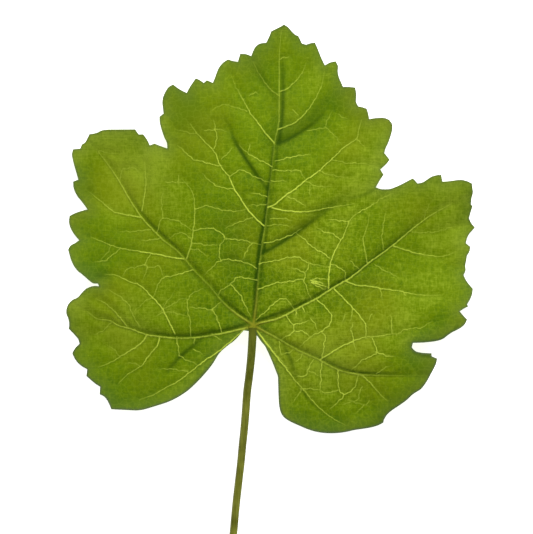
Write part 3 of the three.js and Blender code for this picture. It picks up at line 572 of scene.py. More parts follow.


# Where these strips run and how deep they are was set from the photograph and from how its
# brightness runs across the ribs. So were the tints that a vein has at even steps.
SHADOWS = (
    Shadow(((254.6, 317), (255.7, 290), (257.4, 265), (260.6, 240), (263.4, 225), (265.6, 212),
            (267, 198), (268.6, 186), (270.4, 174), (271.8, 160), (273.3, 148)), 0.65,
           (1.6, 1.35, 1.3, 1.15, 0.95, 0.7, 0.55)),
    Shadow(((258.5, 308), (260.6, 285), (262.4, 262), (265, 243), (267.5, 228), (271, 203),
            (274.8, 175), (276.5, 160), (277.5, 148)), 0.45,
           (0.0, 0.5, 0.6, 0.75, 0.6, 0.35, 0.3, 0.5, 0.6)),
    Shadow(((282, 50), (283, 72), (283, 92), (282.6, 112), (281, 128), (279, 143)), 0.75,
           (0.0, 0.4, 0.65, 0.8, 0.8, 0.6)),
    Shadow(((278, 144), (286, 141), (294, 136.5), (303, 131), (313, 124), (321, 116), (328, 105)),
           0.7, (0.6, 0.7, 0.6, 0.5, 0.4, 0.0)),
    Shadow(((280, 140), (288, 135), (298, 128), (308, 120), (318, 108), (326, 96), (331, 85)), 2.2,
           (0.3, 0.3, 0.4, 0.45, 0.4, 0.25, 0.0)),
    Shadow(((229, 127), (232, 135), (236, 143.5), (242, 153.5), (250, 165), (256, 174), (262, 182),
            (268, 190)), 0.85, (0.0, 0.6, 0.9, 0.95, 0.85, 0.75, 0.6)),
    Shadow(((261, 253), (270, 249.5), (280, 244), (290, 237.5), (300, 231), (312, 221.5),
            (324, 213), (338, 203)), 0.7, (0.7, 0.65, 0.5, 0.5, 0.35, 0.0)),
    Shadow(((262, 249), (275, 243), (288, 235), (303, 224), (318, 212), (334, 203), (352, 195),
            (374, 189)), 1.7, (0.3, 0.4, 0.4, 0.35, 0.25, 0.0)),
    Shadow(((258, 320.3), (270, 315.6), (283, 311.2), (300, 304), (316.7, 295), (330, 287.2),
            (343, 279.7), (356.7, 271.5), (366.7, 264), (376.7, 256.4), (392, 243.9), (406, 232.5),
            (420, 221.6)), 0.6, (0.75, 0.66, 0.62, 0.7, 0.75, 0.6, 0.1)),
    Shadow(((410, 347.5), (414, 352), (422, 355), (434, 356)), 0.6, (0.3, 0.5, 0.65, 0.5)),
    Shadow(((414, 341.8), (430, 341), (441, 339), (449, 333.5), (458, 326)), 0.45,
           (0.3, 0.45, 0.5, 0.45, 0.3)),
    Shadow(((441, 356), (434, 372), (422, 388), (405, 403), (388, 418), (368, 428), (345, 432)),
           1.7, (0.25, 0.25, 0.2, 0.2, 0.15)),
    Shadow(((262, 329), (272, 334.3), (284, 340.5), (296.5, 346.5), (308.5, 352.5), (320.5, 357.8),
            (333, 364.2), (345, 369), (360, 372.4), (378, 373.4), (400, 374), (414, 374.5)), 0.45,
           (0.3, 0.4, 0.3, 0.45, 0.75, 0.75, 0.1)),
    Shadow(((247, 322.6), (235, 326.8), (218, 330.7), (200, 333.8), (180, 335.1), (162, 333.6),
            (148, 331.2), (136, 326.5), (122, 319.5)), 0.6, (0.6, 0.7, 0.62, 0.55, 0.42, 0.2, 0.0)),
    Shadow(((249, 318.5), (237, 310), (223, 298.5), (209.5, 283), (196, 267.5), (183, 253),
            (167, 238), (151, 223), (141, 210.5), (130, 194), (120, 177)), 0.5,
           (0.8, 0.4, 0.2, 0.2, 0.65, 0.6, 0.25, 0.0)),
    Shadow(((229, 310), (223, 305.8), (208.2, 288.3), (191.5, 271), (178.2, 255.3), (168, 247)),
           0.5, (0.0, 0.3, 0.35, 0.35, 0.3, 0.0)),
    Shadow(((203, 337), (194, 345), (184, 353), (176, 361), (168, 370), (161, 377)), 0.8,
           (0.3, 0.7, 0.75, 0.55, 0.0)),
    Shadow(((283, 343), (287, 352), (291, 360), (295, 373), (296, 381)), 0.8,
           (0.2, 0.6, 0.6, 0.35, 0.0)),
    Shadow(((296, 383), (308, 398.5), (317, 408), (324, 413.5)), 0.4, (0.0, 0.6, 0.6, 0.0)),
    Shadow(((249, 60), (257, 70), (266, 84), (276, 98)), 1.7, (0.0, 0.35, 0.35, 0.2)),
    Shadow(((240, 262), (231, 256), (222, 254)), 2.0, (0.3, 0.3, 0.0)),
    Shadow(((100, 275), (108, 277), (116, 280)), 1.2, (0.45, 0.3, 0.0)),
    Shadow(((238, 342), (222, 358), (205, 373), (188, 386)), 0.9, (0.2, 0.35, 0.35, 0.1)),
    Shadow(((300, 430), (325, 438), (352, 434), (375, 424), (395, 402), (418, 380), (432, 362)),
           2.2, (0.1, 0.2, 0.22, 0.22, 0.2, 0.15)),
    Shadow(((345, 200), (354, 198), (363, 195.5), (374, 189.5)), 0.6, (0.0, 0.3, 0.4, 0.3)),
    Shadow(((464, 320), (446, 337), (425, 342), (404, 343)), 1.8, (0.1, 0.3, 0.25, 0.1)),
)


def smooth_line(stops: np.ndarray, step: float) -> np.ndarray:
    """Runs a smooth line through stops.

    Args:
        stops: The places that it goes through, one a row.
        step: About how far apart its points are.

    Returns:
        Its points, evenly spaced from the first stop to the last.
    """
    padded = np.vstack([stops[:1], stops, stops[-1:]])
    share = np.linspace(0, 1, CURVE_PIECES, endpoint=False)[:, None]
    spans = []
    for before, start, end, after in zip(padded, padded[1:], padded[2:], padded[3:]):
        leave, arrive = (end - before) / 2, (after - start) / 2
        cubic = 2 * (start - end) + leave + arrive
        square = 3 * (end - start) - 2 * leave - arrive
        spans.append(cubic * share**3 + square * share**2 + leave * share + start)
    fine = np.vstack([*spans, stops[-1:]])
    length = np.r_[0, np.cumsum(np.linalg.norm(np.diff(fine, axis=0), axis=1))]
    stations = np.linspace(0, length[-1], max(1, round(length[-1] / step)) + 1)
    return np.column_stack([np.interp(stations, length, axis) for axis in fine.T])


@dataclass(frozen=True)
class Nearness:
    """How a line lies to the places that are near it.

    Attributes:
        rows: Which of the places are near the line at all.
        distance: How far each of those is from it.
        on_left: Whether it is on the left of the line's direction.
        along: The nearest point's share of the line's length.
    """

    rows: np.ndarray
    distance: np.ndarray
    on_left: np.ndarray
    along: np.ndarray


class Line:
    """A smooth line over the leaf."""

    def __init__(self, path: Pixels, step: float) -> None:
        """Lays the line through a path, with points that are a step apart."""
        self.points = smooth_line(places(path), step)

    def near(self, spots: np.ndarray, reach: float) -> Nearness:
        """Measures from places to this line.

        Args:
            spots: The places, one a row.
            reach: How far from the line a place still counts.

        Returns:
            How the line lies to those of the places that count.
        """
        low, high = self.points.min(0) - reach, self.points.max(0) + reach
        rows = np.flatnonzero(((spots > low) & (spots < high)).all(1))
        near = spots[rows]
        distance = np.full(len(rows), np.inf)
        on_left = np.zeros(len(rows), bool)
        along = np.zeros(len(rows))
        for i, (start, run) in enumerate(zip(self.points, np.diff(self.points, axis=0))):
            offset = near - start
            share = np.clip(offset @ run / (run @ run), 0, 1)
            apart = np.linalg.norm(offset - share[:, None] * run, axis=1)
            closer = apart < distance
            distance[closer] = apart[closer]
            on_left[closer] = (run[0] * offset[:, 1] - run[1] * offset[:, 0])[closer] > 0
            along[closer] = (i + share[closer]) / (len(self.points) - 1)
        return Nearness(rows, distance, on_left, along)

    def wander(self, amount: float, lengths: Sequence[float], seed: int) -> None:
        """Lets the line stray to either side, most of all in its middle.

        Args:
            amount: How far each wave takes it.
            lengths: The waves' lengths.
            seed: Sets where the waves begin.
        """
        run = np.r_[0, np.cumsum(np.linalg.norm(np.diff(self.points, axis=0), axis=1))]
        held = np.sqrt(np.clip(np.sin(math.pi * run / run[-1]), 0, 1))
        waves = [np.sin(2 * math.pi * run / size + seed * size) for size in lengths]
        self.points = self.points + self.sideways() * (amount * held * sum(waves))[:, None]

    def sideways(self) -> np.ndarray:
        """The unit direction to the left of the line, at each of its points."""
        runs = np.gradient(self.points, axis=0)
        return runs[:, ::-1] * (-1, 1) / np.linalg.norm(runs, axis=1, keepdims=True)


@dataclass(frozen=True)
class Net:
    """What the net of veins does at places on the blade.

    Attributes:
        pale: How far each place shows a vein's pale line, in full from 1 on.
        raised: How far the line stands up there.
        nearest: How far the nearest vein is.
        beside: How strongly a vein's painted shade darkens the green beside it there.
    """

    pale: np.ndarray
    raised: np.ndarray
    nearest: np.ndarray
    beside: np.ndarray


@dataclass(frozen=True)
class RibSizes:
    """The sizes of the ridges under the blade, the main ribs' at the hub and the least ones.

    Attributes:
        root_half_width: Half a main rib's width at the hub.
        end_half_width: The least half width.
        root_depth: How far a main rib stands out at the hub.
        end_share: A vein's size at its far end, against its size where it starts.
        limit: The distance from a vein within which its ridge is looked for.
    """

    root_half_width: float = 0.95
    end_half_width: float = 0.45
    root_depth: float = 1.15
    end_share: float = 0.3
    limit: float = 1.0


@dataclass(frozen=True)
class LineSizes:
    """The sizes of the pale lines on the upper face.

    Attributes:
        root_half_width: Half a main rib's line at the hub.
        end_half_width: The least half width.
        height: How far a main rib's line stands up at the hub.
        fade: How much of its paleness a line loses by its far end.
        band_half_width: Half the olive band of a main rib at the hub.
        band_share: The share of a main rib's length that its olive band takes.
        band_taper: How much of its width the band would lose by the rib's far end.
        band_limit: The distance from a rib within which its band is looked for.
        vein_shade_reach: How far beside a vein its painted shade reaches.
    """

    root_half_width: float = 0.46
    end_half_width: float = 0.26
    height: float = 0.3
    fade: float = 0.75
    band_half_width: float = 0.62
    band_share: float = 0.16
    band_taper: float = 0.5
    band_limit: float = 2.0
    vein_shade_reach: float = 0.75


@dataclass(frozen=True)
class KnobSizes:
    """The round end of the stalk, which the blade swells into at its base.

    Attributes:
        length: How far it reaches into the blade.
        reach: How wide its blend is, against its radius.
        radius: Its radius at the base edge.
        base_y: The base edge's place along the leaf.
        middle_x: The stalk's place across the leaf.
    """

    length: float = 4.5
    reach: float = 1.2
    radius: float = 1.5
    base_y: float = float(places([(0, 330.8)])[0, 1])
    middle_x: float = float(places([(252.85, 0)])[0, 0])


WANDER = {Rank.MAIN: 0.04, Rank.SIDE: 0.07, Rank.NET: 0.15, Rank.THREAD: 0.15}


@dataclass
class LeafForm:
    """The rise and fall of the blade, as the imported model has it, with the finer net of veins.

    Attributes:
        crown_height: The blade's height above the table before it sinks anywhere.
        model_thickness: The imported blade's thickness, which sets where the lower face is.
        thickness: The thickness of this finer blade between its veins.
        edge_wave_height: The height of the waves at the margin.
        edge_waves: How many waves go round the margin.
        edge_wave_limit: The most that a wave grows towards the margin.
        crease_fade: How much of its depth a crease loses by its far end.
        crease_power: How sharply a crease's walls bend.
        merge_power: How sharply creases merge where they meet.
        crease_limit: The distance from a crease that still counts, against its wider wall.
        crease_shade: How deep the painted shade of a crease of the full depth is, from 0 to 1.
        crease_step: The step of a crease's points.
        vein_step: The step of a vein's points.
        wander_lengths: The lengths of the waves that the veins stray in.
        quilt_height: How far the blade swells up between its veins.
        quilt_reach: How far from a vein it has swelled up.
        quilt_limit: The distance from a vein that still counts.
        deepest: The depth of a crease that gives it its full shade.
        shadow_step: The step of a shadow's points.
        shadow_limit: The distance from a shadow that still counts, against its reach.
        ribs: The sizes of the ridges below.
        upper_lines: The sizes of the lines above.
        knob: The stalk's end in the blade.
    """

    crown_height: float = 9.6
    model_thickness: float = 0.75
    thickness: float = 0.34
    edge_wave_height: float = 1.5
    edge_waves: int = 13
    edge_wave_limit: float = 1.6
    crease_fade: float = 0.75
    crease_power: float = 1.25
    merge_power: float = 4.0
    crease_limit: float = 5.0
    crease_shade: float = 0.2
    crease_step: float = 1.6
    vein_step: float = 0.6
    wander_lengths: tuple[float, ...] = (9.7, 4.3, 2.3)
    quilt_height: float = 0.34
    quilt_reach: float = 1.8
    quilt_limit: float = 7.0
    deepest: float = 1.6
    shadow_step: float = 2.0
    shadow_limit: float = 3.0
    ribs: RibSizes = RibSizes()
    upper_lines: LineSizes = LineSizes()
    knob: KnobSizes = KnobSizes()
    creases: list[tuple[Crease, Line]] = field(init=False)
    veins: list[tuple[Vein, Line]] = field(init=False)
    base_height: float = field(init=False)

    def __post_init__(self) -> None:
        """Lays the creases and the veins, and finds how high the blade is at its base."""
        self.creases = [(crease, Line(crease.path, self.crease_step)) for crease in CREASES]
        veins = (*MAIN_VEINS, *SIDE_VEINS, *NET_VEINS)
        self.veins = [(vein, Line(vein.path, self.vein_step)) for vein in veins]
        for order, (vein, line) in enumerate(self.veins):
            line.wander(WANDER[vein.rank], self.wander_lengths, order)
        base = np.array([[self.knob.middle_x, self.knob.base_y]])
        self.base_height = float(self.middle(base)[0])

    def sunk(self, spots: np.ndarray) -> np.ndarray:
        """Adds up the creases.

        Args:
            spots: Places on the leaf, one a row.

        Returns:
            How far the creases together sink the blade there.
        """
        total = np.zeros(len(spots))
        for crease, line in self.creases:
            near = line.near(spots, self.crease_limit * max(crease.left, crease.right))
            wall = np.where(near.on_left, crease.left, crease.right)
            here = crease.depth * (1 - self.crease_fade * near.along**2)
            side = np.exp(-((near.distance / wall) ** self.crease_power))
            total[near.rows] += (here * side) ** self.merge_power
        return total ** (1 / self.merge_power)

    def middle(self, spots: np.ndarray) -> np.ndarray:
        """Finds the blade's middle surface.

        Args:
            spots: Places on the leaf, one a row.

        Returns:
            Its height above the table there.
        """
        outwards = np.linalg.norm(spots, axis=1) / (BLADE_WIDTH / 2)
        wave = np.sin(self.edge_waves * np.arctan2(spots[:, 1], spots[:, 0])) * outwards**3
        lift = self.edge_wave_height / 2 * np.minimum(wave, self.edge_wave_limit)
        height = self.crown_height - self.sunk(spots) + lift
        for droop in DROOPS:
            apart = np.linalg.norm(spots - places([droop.place]), axis=1)
            height -= droop.drop * np.exp(-((apart / droop.reach) ** 2))
        return height

    def rib_size(self, vein: Vein, along: np.ndarray) -> np.ndarray:
        """How stout a vein is along its length, against a main rib at the hub."""
        return vein.rank.value * (1 - (1 - self.ribs.end_share) * along)

    def half_width(self, size: np.ndarray, face: Face) -> np.ndarray:
        """Half the width of a vein of a size: its line above, or its ridge below."""
        sizes = self.upper_lines if face is Face.UPPER else self.ribs
        return np.maximum(sizes.end_half_width, sizes.root_half_width * np.sqrt(size))

    def ridge(self, spots: np.ndarray) -> np.ndarray:
        """Measures the ridges under the blade.

        Args:
            spots: Places on the leaf, one a row.

        Returns:
            How far the veins stand out below there.
        """
        relief = np.zeros(len(spots))
        for vein, line in self.veins:
            near = line.near(spots, self.ribs.limit)
            size = self.rib_size(vein, near.along)
            across = near.distance / self.half_width(size, Face.LOWER)
            here = self.ribs.root_depth * size * np.maximum(0, 1 - across**2)
            np.maximum.at(relief, near.rows, here)
        return relief

    def net(self, spots: np.ndarray) -> Net:
        """Reads the net of veins on the upper face.

        Args:
            spots: Places on the leaf, one a row.

        Returns:
            What the veins do there.
        """
        pale, raised, beside = np.zeros((3, len(spots)))
        nearest = np.full(len(spots), self.quilt_limit)
        sizes = self.upper_lines
        for vein, line in self.veins:
            near = line.near(spots, self.quilt_limit)
            size = self.rib_size(vein, near.along)
            across = near.distance / self.half_width(size, Face.UPPER)
            here = np.maximum(0, 1 - across**2)
            steps = vein.tints or (vein.tint,)
            tint = np.interp(near.along, np.linspace(0, 1, len(steps)), steps)
            tint *= 1 - sizes.fade * near.along**4
            np.maximum.at(pale, near.rows, here * tint)
            np.maximum.at(raised, near.rows, here * sizes.height * size)
            np.minimum.at(nearest, near.rows, near.distance)
            np.maximum.at(beside, near.rows, tint * np.exp(-((near.distance / sizes.vein_shade_reach) ** 2)))
        return Net(pale, raised, nearest, beside)

    def bands(self, spots: np.ndarray) -> np.ndarray:
        """Finds the olive bands of the main ribs.

        Args:
            spots: Places on the leaf, one a row.

        Returns:
            How olive each of them is, from 0 to 1.
        """
        olive = np.zeros(len(spots))
        sizes = self.upper_lines
        for vein, line in self.veins:
            if vein.rank is Rank.MAIN:
                near = line.near(spots, sizes.band_limit)
                narrowed = sizes.band_half_width * (1 - sizes.band_taper * near.along)
                across = near.distance / narrowed
                left = np.maximum(0, 1 - near.along / sizes.band_share)
                np.maximum.at(olive, near.rows, np.maximum(0, 1 - across**2) * left)
        return olive

    def shade(self, spots: np.ndarray) -> np.ndarray:
        """Finds the painted shade: a deeper green in the creases and along the shadow strips.

        Args:
            spots: Places on the leaf, one a row.

        Returns:
            How deep the green is there, from 0 to 1.
        """
        dark = self.crease_shade * (self.sunk(spots) / self.deepest) ** 2
        for shadow in SHADOWS:
            line = Line(shadow.path, self.shadow_step)
            near = line.near(spots, self.shadow_limit * shadow.reach)
            here = np.interp(near.along, np.linspace(0, 1, len(shadow.dark)), shadow.dark)
            dark[near.rows] += here * np.exp(-((near.distance / shadow.reach) ** 2))
        return np.minimum(1, dark)

    def with_knob(self, spots: np.ndarray, plain: np.ndarray, face: Face) -> np.ndarray:
        """Swells a face beside the base edge into the round end of the stalk.

        Args:
            spots: Places on the leaf, one a row.
            plain: The plain face's heights there.
            face: Which face it is.

        Returns:
            The swollen face's heights.
        """
        knob = self.knob
        inwards = (spots[:, 1] - knob.base_y) / knob.length
        sideways = (spots[:, 0] - knob.middle_x) / knob.radius
        rows = np.flatnonzero((inwards < 1) & (abs(sideways) < knob.reach))
        rounding = knob.radius * np.sqrt(np.maximum(0, 1 - sideways[rows] ** 2))
        swell = 1 - np.clip(inwards[rows], 0, 1) ** 2
        middle = self.middle(spots[rows])
        centre = middle + (self.base_height - middle) * swell
        half = np.maximum(self.thickness / 2, rounding * swell)
        is_upper = face is Face.UPPER
        edge = centre + half if is_upper else centre - half
        blended = plain[rows] + (edge - plain[rows]) * swell
        swollen = plain.copy()
        swollen[rows] = np.maximum(blended, edge) if is_upper else np.minimum(blended, plain[rows])
        return swollen

    def height(self, spots: np.ndarray, face: Face) -> np.ndarray:
        """Finds the height of a face. Nothing is below the table.

        Args:
            spots: Places on the leaf, one a row.
            face: Which face. The upper one is gently quilted between the veins.

        Returns:
            Its height there.
        """
        under = self.middle(spots) - self.model_thickness / 2
        if face is Face.LOWER:
            return np.maximum(0, self.with_knob(spots, under - self.ridge(spots), face))
        net = self.net(spots)
        quilt = self.quilt_height * (1 - np.exp(-((net.nearest / self.quilt_reach) ** 2)))
        plain = np.maximum(0, under) + self.thickness + quilt + net.raised
        return self.with_knob(spots, plain, face)


class Scatter:
    """Points in plan that keep clear of each other."""

    def __init__(self, cell: float = 1.0) -> None:
        """Starts with no points.

        Args:
            cell: The side of the squares that the points are filed in; no clearance is longer.
        """
        self.cell = cell
        self.points: list[tuple[float, float]] = []
        self.cells: dict[tuple[int, int], list[int]] = {}

    def add(self, spots: Iterable[Sequence[float]], clearance: float) -> None:
        """Adds those of the spots that are clear of every point so far.

        Args:
            spots: The places to add, in order.
            clearance: How near another point may be.
        """
        for x, y in spots:
            column, row = int(x // self.cell), int(y // self.cell)
            around = [
                self.points[index]
                for i in (column - 1, column, column + 1)
                for j in (row - 1, row, row + 1)
                for index in self.cells.get((i, j), ())
            ]
            if all((x - u) ** 2 + (y - v) ** 2 >= clearance**2 for u, v in around):
                self.cells.setdefault((column, row), []).append(len(self.points))
                self.points.append((float(x), float(y)))


@dataclass(frozen=True)
class Density:
    """How closely one face of the blade is laid with vertices.

    Attributes:
        face: Which face it is.
        fill: The step of the even fill.
        rows: The rows beside each vein, in half widths of the vein.
        row_clearance: How near another vertex those rows may come.
        stray: How far the fill's vertices stray from their rows, against its step.
    """

    face: Face
    fill: float
    rows: tuple[float, ...]
    row_clearance: float
    stray: float = 0.1


def packed_rim() -> tuple[np.ndarray, np.ndarray]:
    """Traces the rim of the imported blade.

    Returns:
        The rim in plan, measured from the hub, and the hub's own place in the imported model.
    """
    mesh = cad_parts["leaf_blade"].data
    corners = np.empty(len(mesh.vertices) * 3)
    mesh.vertices.foreach_get("co", corners)
    corners = corners.reshape(-1, 3) / METRES_PER_MM
    faces = np.array([face.vertices[:] for face in mesh.polygons])
    first, second, third = (corners[faces[:, i]] for i in range(3))
    facing_up = np.cross(second - first, third - first)[:, 2] > LEAST_PLAN_AREA
    plan, named = np.unique(corners[:, :2].round(3), axis=0, return_inverse=True)
    upper = named.reshape(-1)[faces[facing_up]]
    sides = {(int(a), int(b)) for face in upper for a, b in zip(face, np.roll(face, -1))}
    following = {a: b for a, b in sides if (b, a) not in sides}
    loop = [int(plan[:, 1].argmax())]
    while following[loop[-1]] != loop[0]:
        loop.append(following[loop[-1]])
    hub = plan[loop[0]] - places([PHOTO_TIP])[0]
    return plan[loop] - hub, hub


def rounded_rim(rim: np.ndarray, step: float, corner: float) -> np.ndarray:
    """Rounds a rim of straight sides between its corners.

    Args:
        rim: Its points, in order.
        step: How far apart the new points are.
        corner: The turn, in radians, from which a point is a corner of a tooth.

    Returns:
        The new points, anticlockwise.
    """
    ahead, behind = np.roll(rim, -1, axis=0) - rim, rim - np.roll(rim, 1, axis=0)
    turn = np.arctan2(ahead[:, 1], ahead[:, 0]) - np.arctan2(behind[:, 1], behind[:, 0])
    turn = abs((turn + math.pi) % (2 * math.pi) - math.pi)
    corners = np.flatnonzero(turn > corner)
    rim, corners = np.roll(rim, -corners[0], axis=0), corners - corners[0]
    closed = np.vstack([rim, rim[:1]])
    stretches = zip(corners, [*corners[1:], len(rim)])
    found = np.vstack([smooth_line(closed[a : b + 1], step)[:-1] for a, b in stretches])
    after = np.roll(found, -1, axis=0)
    is_clockwise = (found[:, 0] * after[:, 1] - after[:, 0] * found[:, 1]).sum() < 0
    return found[::-1] if is_clockwise else found


def is_inside(rim: np.ndarray, spots: np.ndarray) -> np.ndarray:
    """Says which of the spots are inside a closed rim.

    Args:
        rim: Its points, in order.
        spots: The places to test, one a row.

    Returns:
        A truth value for each of them.
    """
    inside = np.zeros(len(spots), bool)
    order = spots[:, 1].argsort()
    heights = spots[order, 1]
    for (x, y), (next_x, next_y) in zip(rim, np.roll(rim, -1, axis=0)):
        low, high = np.searchsorted(heights, sorted((y, next_y)))
        level = order[low:high]
        if len(level):
            crossing = x + (spots[level, 1] - y) * (next_x - x) / (next_y - y)
            inside[level[spots[level, 0] < crossing]] ^= True
    return inside


def from_rim(rim: np.ndarray, spots: np.ndarray) -> np.ndarray:
    """Measures how far spots are from a closed rim.

    Args:
        rim: Its points, in order.
        spots: The places to measure from, one a row.

    Returns:
        The distance of each, to a tenth of the rim's step.
    """
    shares = np.arange(0, 1, 0.2)[:, None, None]
    closer = (rim + shares * (np.roll(rim, -1, axis=0) - rim)).reshape(-1, 2)
    tree = KDTree(len(closer))
    for index, spot in enumerate(closer):
        tree.insert((*spot, 0), index)
    tree.balance()
    return np.array([tree.find((*spot, 0))[2] for spot in spots])


def select_only(piece: bpy.types.Object) -> None:
    """Makes a piece the one that is selected and active.

    Args:
        piece: The piece to select.
    """
    bpy.ops.object.select_all(action="DESELECT")
    piece.select_set(True)
    bpy.context.view_layer.objects.active = piece


@dataclass
class Blade:
    """The blade: a thin sheet of two faces with vertices along its rim and along every vein.

    Attributes:
        form: The rise and fall of the blade.
        upper: How closely the upper face is laid with vertices.
        lower: How closely the lower face is.
        rim_step: The step of the rim's vertices.
        corner_turn: The turn, in radians, that makes a corner of a tooth.
        sinus: Where the rim meets the stalk's right side, on the photograph.
        sinus_reach: How far round that place the rim is moved against the stalk.
        sinus_shift: How far it is moved.
        edge_inset: How far inside the rim its second row of vertices is.
        edge_line: The width of the dark line of painted shade along the margin.
        edge_line_end: Where it has faded out, against its width.
        edge_line_share: How strong it is towards the tip, against its strength at the base.
        edge_line_span: From where to where along the leaf, from the hub, its strength changes.
        painted_sheen: How far the green greys at the margin, a painted sheen, from 0 to 1.
        painted_sheen_reach: How far from the margin the painted sheen still shows.
        fine_place: Where the finest net shows most, on the photograph.
        fine_reach: How far round that place it shows.
        fine_shares: How strongly it shows elsewhere, and how much more strongly there.
        bright: How much brighter the veins are there.
        beside_shade: How deep the painted shade beside a vein of tint 1 is, from 0 to 1.
        full_ridge: The height of a ridge below that has a vein's full colour.
        knob_step: The step of the vertices on the knob.
        line_clearance: How near another vertex those on a vein may come.
        edge_clearance: The same for the rim's second row.
        knob_clearance: The same for the knob.
        fill_clearance: The same for the fill, against its step.
        weld: How near two vertices may be in plan before they are taken as one.
        hub_reach: How far round the hub the veins are olive.
        smooth_angle: The sharpest edge, in radians, that is still shaded smooth.
    """

    form: LeafForm
    upper: Density = Density(Face.UPPER, 0.66, (1.0, 0.5), 0.14)
    lower: Density = Density(Face.LOWER, 1.25, (1.0,), 0.3)
    rim_step: float = 0.55
    corner_turn: float = math.radians(33)
    sinus: tuple[float, float] = (257.2, 332.4)
    sinus_reach: float = 0.9
    sinus_shift: float = 0.6
    edge_inset: float = 0.3
    edge_line: float = 0.6
    edge_line_end: float = 1.25
    edge_line_share: float = 0.5
    edge_line_span: tuple[float, float] = (-25.0, 25.0)
    painted_sheen: float = 0.16
    painted_sheen_reach: float = 3.6
    fine_place: tuple[float, float] = (300.0, 290.0)
    fine_reach: float = 40.0
    fine_shares: tuple[float, float] = (0.75, 0.9)
    bright: float = 0.2
    beside_shade: float = 0.3
    full_ridge: float = 0.25
    knob_step: float = 0.35
    line_clearance: float = 0.2
    edge_clearance: float = 0.24
    knob_clearance: float = 0.25
    fill_clearance: float = 0.52
    weld: float = 1e-7
    hub_reach: float = 3.5
    smooth_angle: float = math.radians(55)
    hub: np.ndarray = field(init=False)
    rim: np.ndarray = field(init=False)
    piece: bpy.types.Object = field(init=False)

    def __post_init__(self) -> None:
        """Traces the rim, closes it against the stalk and finds the hub."""
        rim, self.hub = packed_rim()
        beside = np.linalg.norm(rim - places([self.sinus]), axis=1) < self.sinus_reach
        rim[beside, 0] -= self.sinus_shift
        self.rim = rounded_rim(rim, self.rim_step, self.corner_turn)

    def edge_row(self) -> np.ndarray:
        """Lays the second row of vertices, just inside the rim.

        Returns:
            Its vertices in plan, one for each of the rim's.
        """
        runs = np.roll(self.rim, -1, axis=0) - np.roll(self.rim, 1, axis=0)
        inwards = runs[:, ::-1] * (-1, 1) / np.linalg.norm(runs, axis=1, keepdims=True)
        return self.rim + self.edge_inset * inwards

    def spread(self, density: Density) -> np.ndarray:
        """Lays one face's vertices in plan: the rim, the veins, the knob and an even fill.

        Args:
            density: How closely it is laid.

        Returns:
            Its vertices, the rim's first.
        """
        form, knob = self.form, self.form.knob
        scatter = Scatter()
        scatter.add(self.rim, 0)
        for _, line in form.veins:
            scatter.add(line.points, self.line_clearance)
        if density.face is Face.UPPER:
            row = self.edge_row()
            scatter.add(row[is_inside(self.rim, row)], self.edge_clearance)
        for vein, line in form.veins:
            size = form.rib_size(vein, np.linspace(0, 1, len(line.points)))
            aside = line.sideways() * form.half_width(size, density.face)[:, None]
            for share in density.rows:
                scatter.add(line.points + share * aside, density.row_clearance)
                scatter.add(line.points - share * aside, density.row_clearance)
        reach = knob.reach * knob.radius
        columns = np.arange(knob.middle_x - reach, knob.middle_x + reach, self.knob_step)
        rows = np.arange(knob.base_y + self.knob_step, knob.base_y + knob.length, self.knob_step)
        scatter.add([(x, y) for y in rows for x in columns], self.knob_clearance)
        low, high = self.rim.min(0), self.rim.max(0)
        for row, y in enumerate(np.arange(low[1], high[1], density.fill * math.sqrt(3) / 2)):
            across = np.arange(low[0] + row % 2 * density.fill / 2, high[0], density.fill)
            shift = density.fill * density.stray * np.sin(row * row + 3 * across)
            fill = np.column_stack([across + shift, y - shift])
            scatter.add(fill[is_inside(self.rim, fill)], self.fill_clearance * density.fill)
        return np.array(scatter.points)

    def plan(self, density: Density) -> tuple[np.ndarray, np.ndarray]:
        """Triangulates one face in plan.

        Args:
            density: How closely it is laid with vertices.

        Returns:
            Its vertices, the rim's first, and its triangles, all turning left.
        """
        spots = self.spread(density)
        count = len(self.rim)
        spread = [Vector(spot) for spot in spots]
        outline = [list(range(count))]
        found = delaunay_2d_cdt(spread, [], outline, KEEP_INSIDE, self.weld, True)
        origins = np.array([ids[0] for ids in found[3]])
        triangles = origins[np.array(found[2])]
        triangles = triangles[is_inside(self.rim, spots[triangles].mean(1))]
        used = np.union1d(np.arange(count), triangles)
        triangles = np.searchsorted(used, triangles)
        spots = spots[used]
        first, second, third = (spots[triangles[:, i]] for i in range(3))
        along, across = second - first, third - first
        turns_right = along[:, 0] * across[:, 1] < along[:, 1] * across[:, 0]
        triangles[turns_right] = triangles[turns_right, ::-1]
        return spots, triangles

    def marks(self, spots: np.ndarray, face: Face) -> dict[str, np.ndarray]:
        """Works out what the finishes need to know at each vertex of a face.

        Args:
            spots: The vertices in plan, the rim's first.
            face: Which face it is.

        Returns:
            The values of each of the attributes that the finishes read.
        """
        form = self.form
        tone = np.zeros(len(spots))
        for patch in TONES:
            apart = np.linalg.norm(spots - places([patch.place]), axis=1)
            tone += patch.light * np.exp(-((apart / patch.reach) ** 2))
        if face is Face.UPPER:
            net = form.net(spots)
            pale = net.pale
            # Painted shade: a darker green in the creases, along the shadow strips and beside the
            # veins.
            valley = np.minimum(1, form.shade(spots) + self.beside_shade * net.beside)
        else:
            pale = np.minimum(1, form.ridge(spots) / self.full_ridge)
            valley = np.zeros(len(spots))
        inwards = from_rim(self.rim, spots)
        # Painted shade: a dark line along the margin, stronger towards the base.
        edged = np.clip(self.edge_line_end - inwards / self.edge_line, 0, 1)
        edged *= np.interp(spots[:, 1], self.edge_line_span, (1, self.edge_line_share))
        apart = np.linalg.norm(spots - places([self.fine_place]), axis=1)
        central = np.exp(-((apart / self.fine_reach) ** 2))
        least, more = self.fine_shares
        return {
            "vein": pale * (1 + self.bright * central),
            "band": form.bands(spots),
            "hub": np.exp(-((np.linalg.norm(spots, axis=1) / self.hub_reach) ** 2)),
            "valley": valley,
            "rim": edged,
            # Painted sheen: a greyer green near the margin.
            "painted_sheen": self.painted_sheen * np.exp(-((inwards / self.painted_sheen_reach) ** 2)),
            "fine": least + more * central,
            "tone": tone,
        }

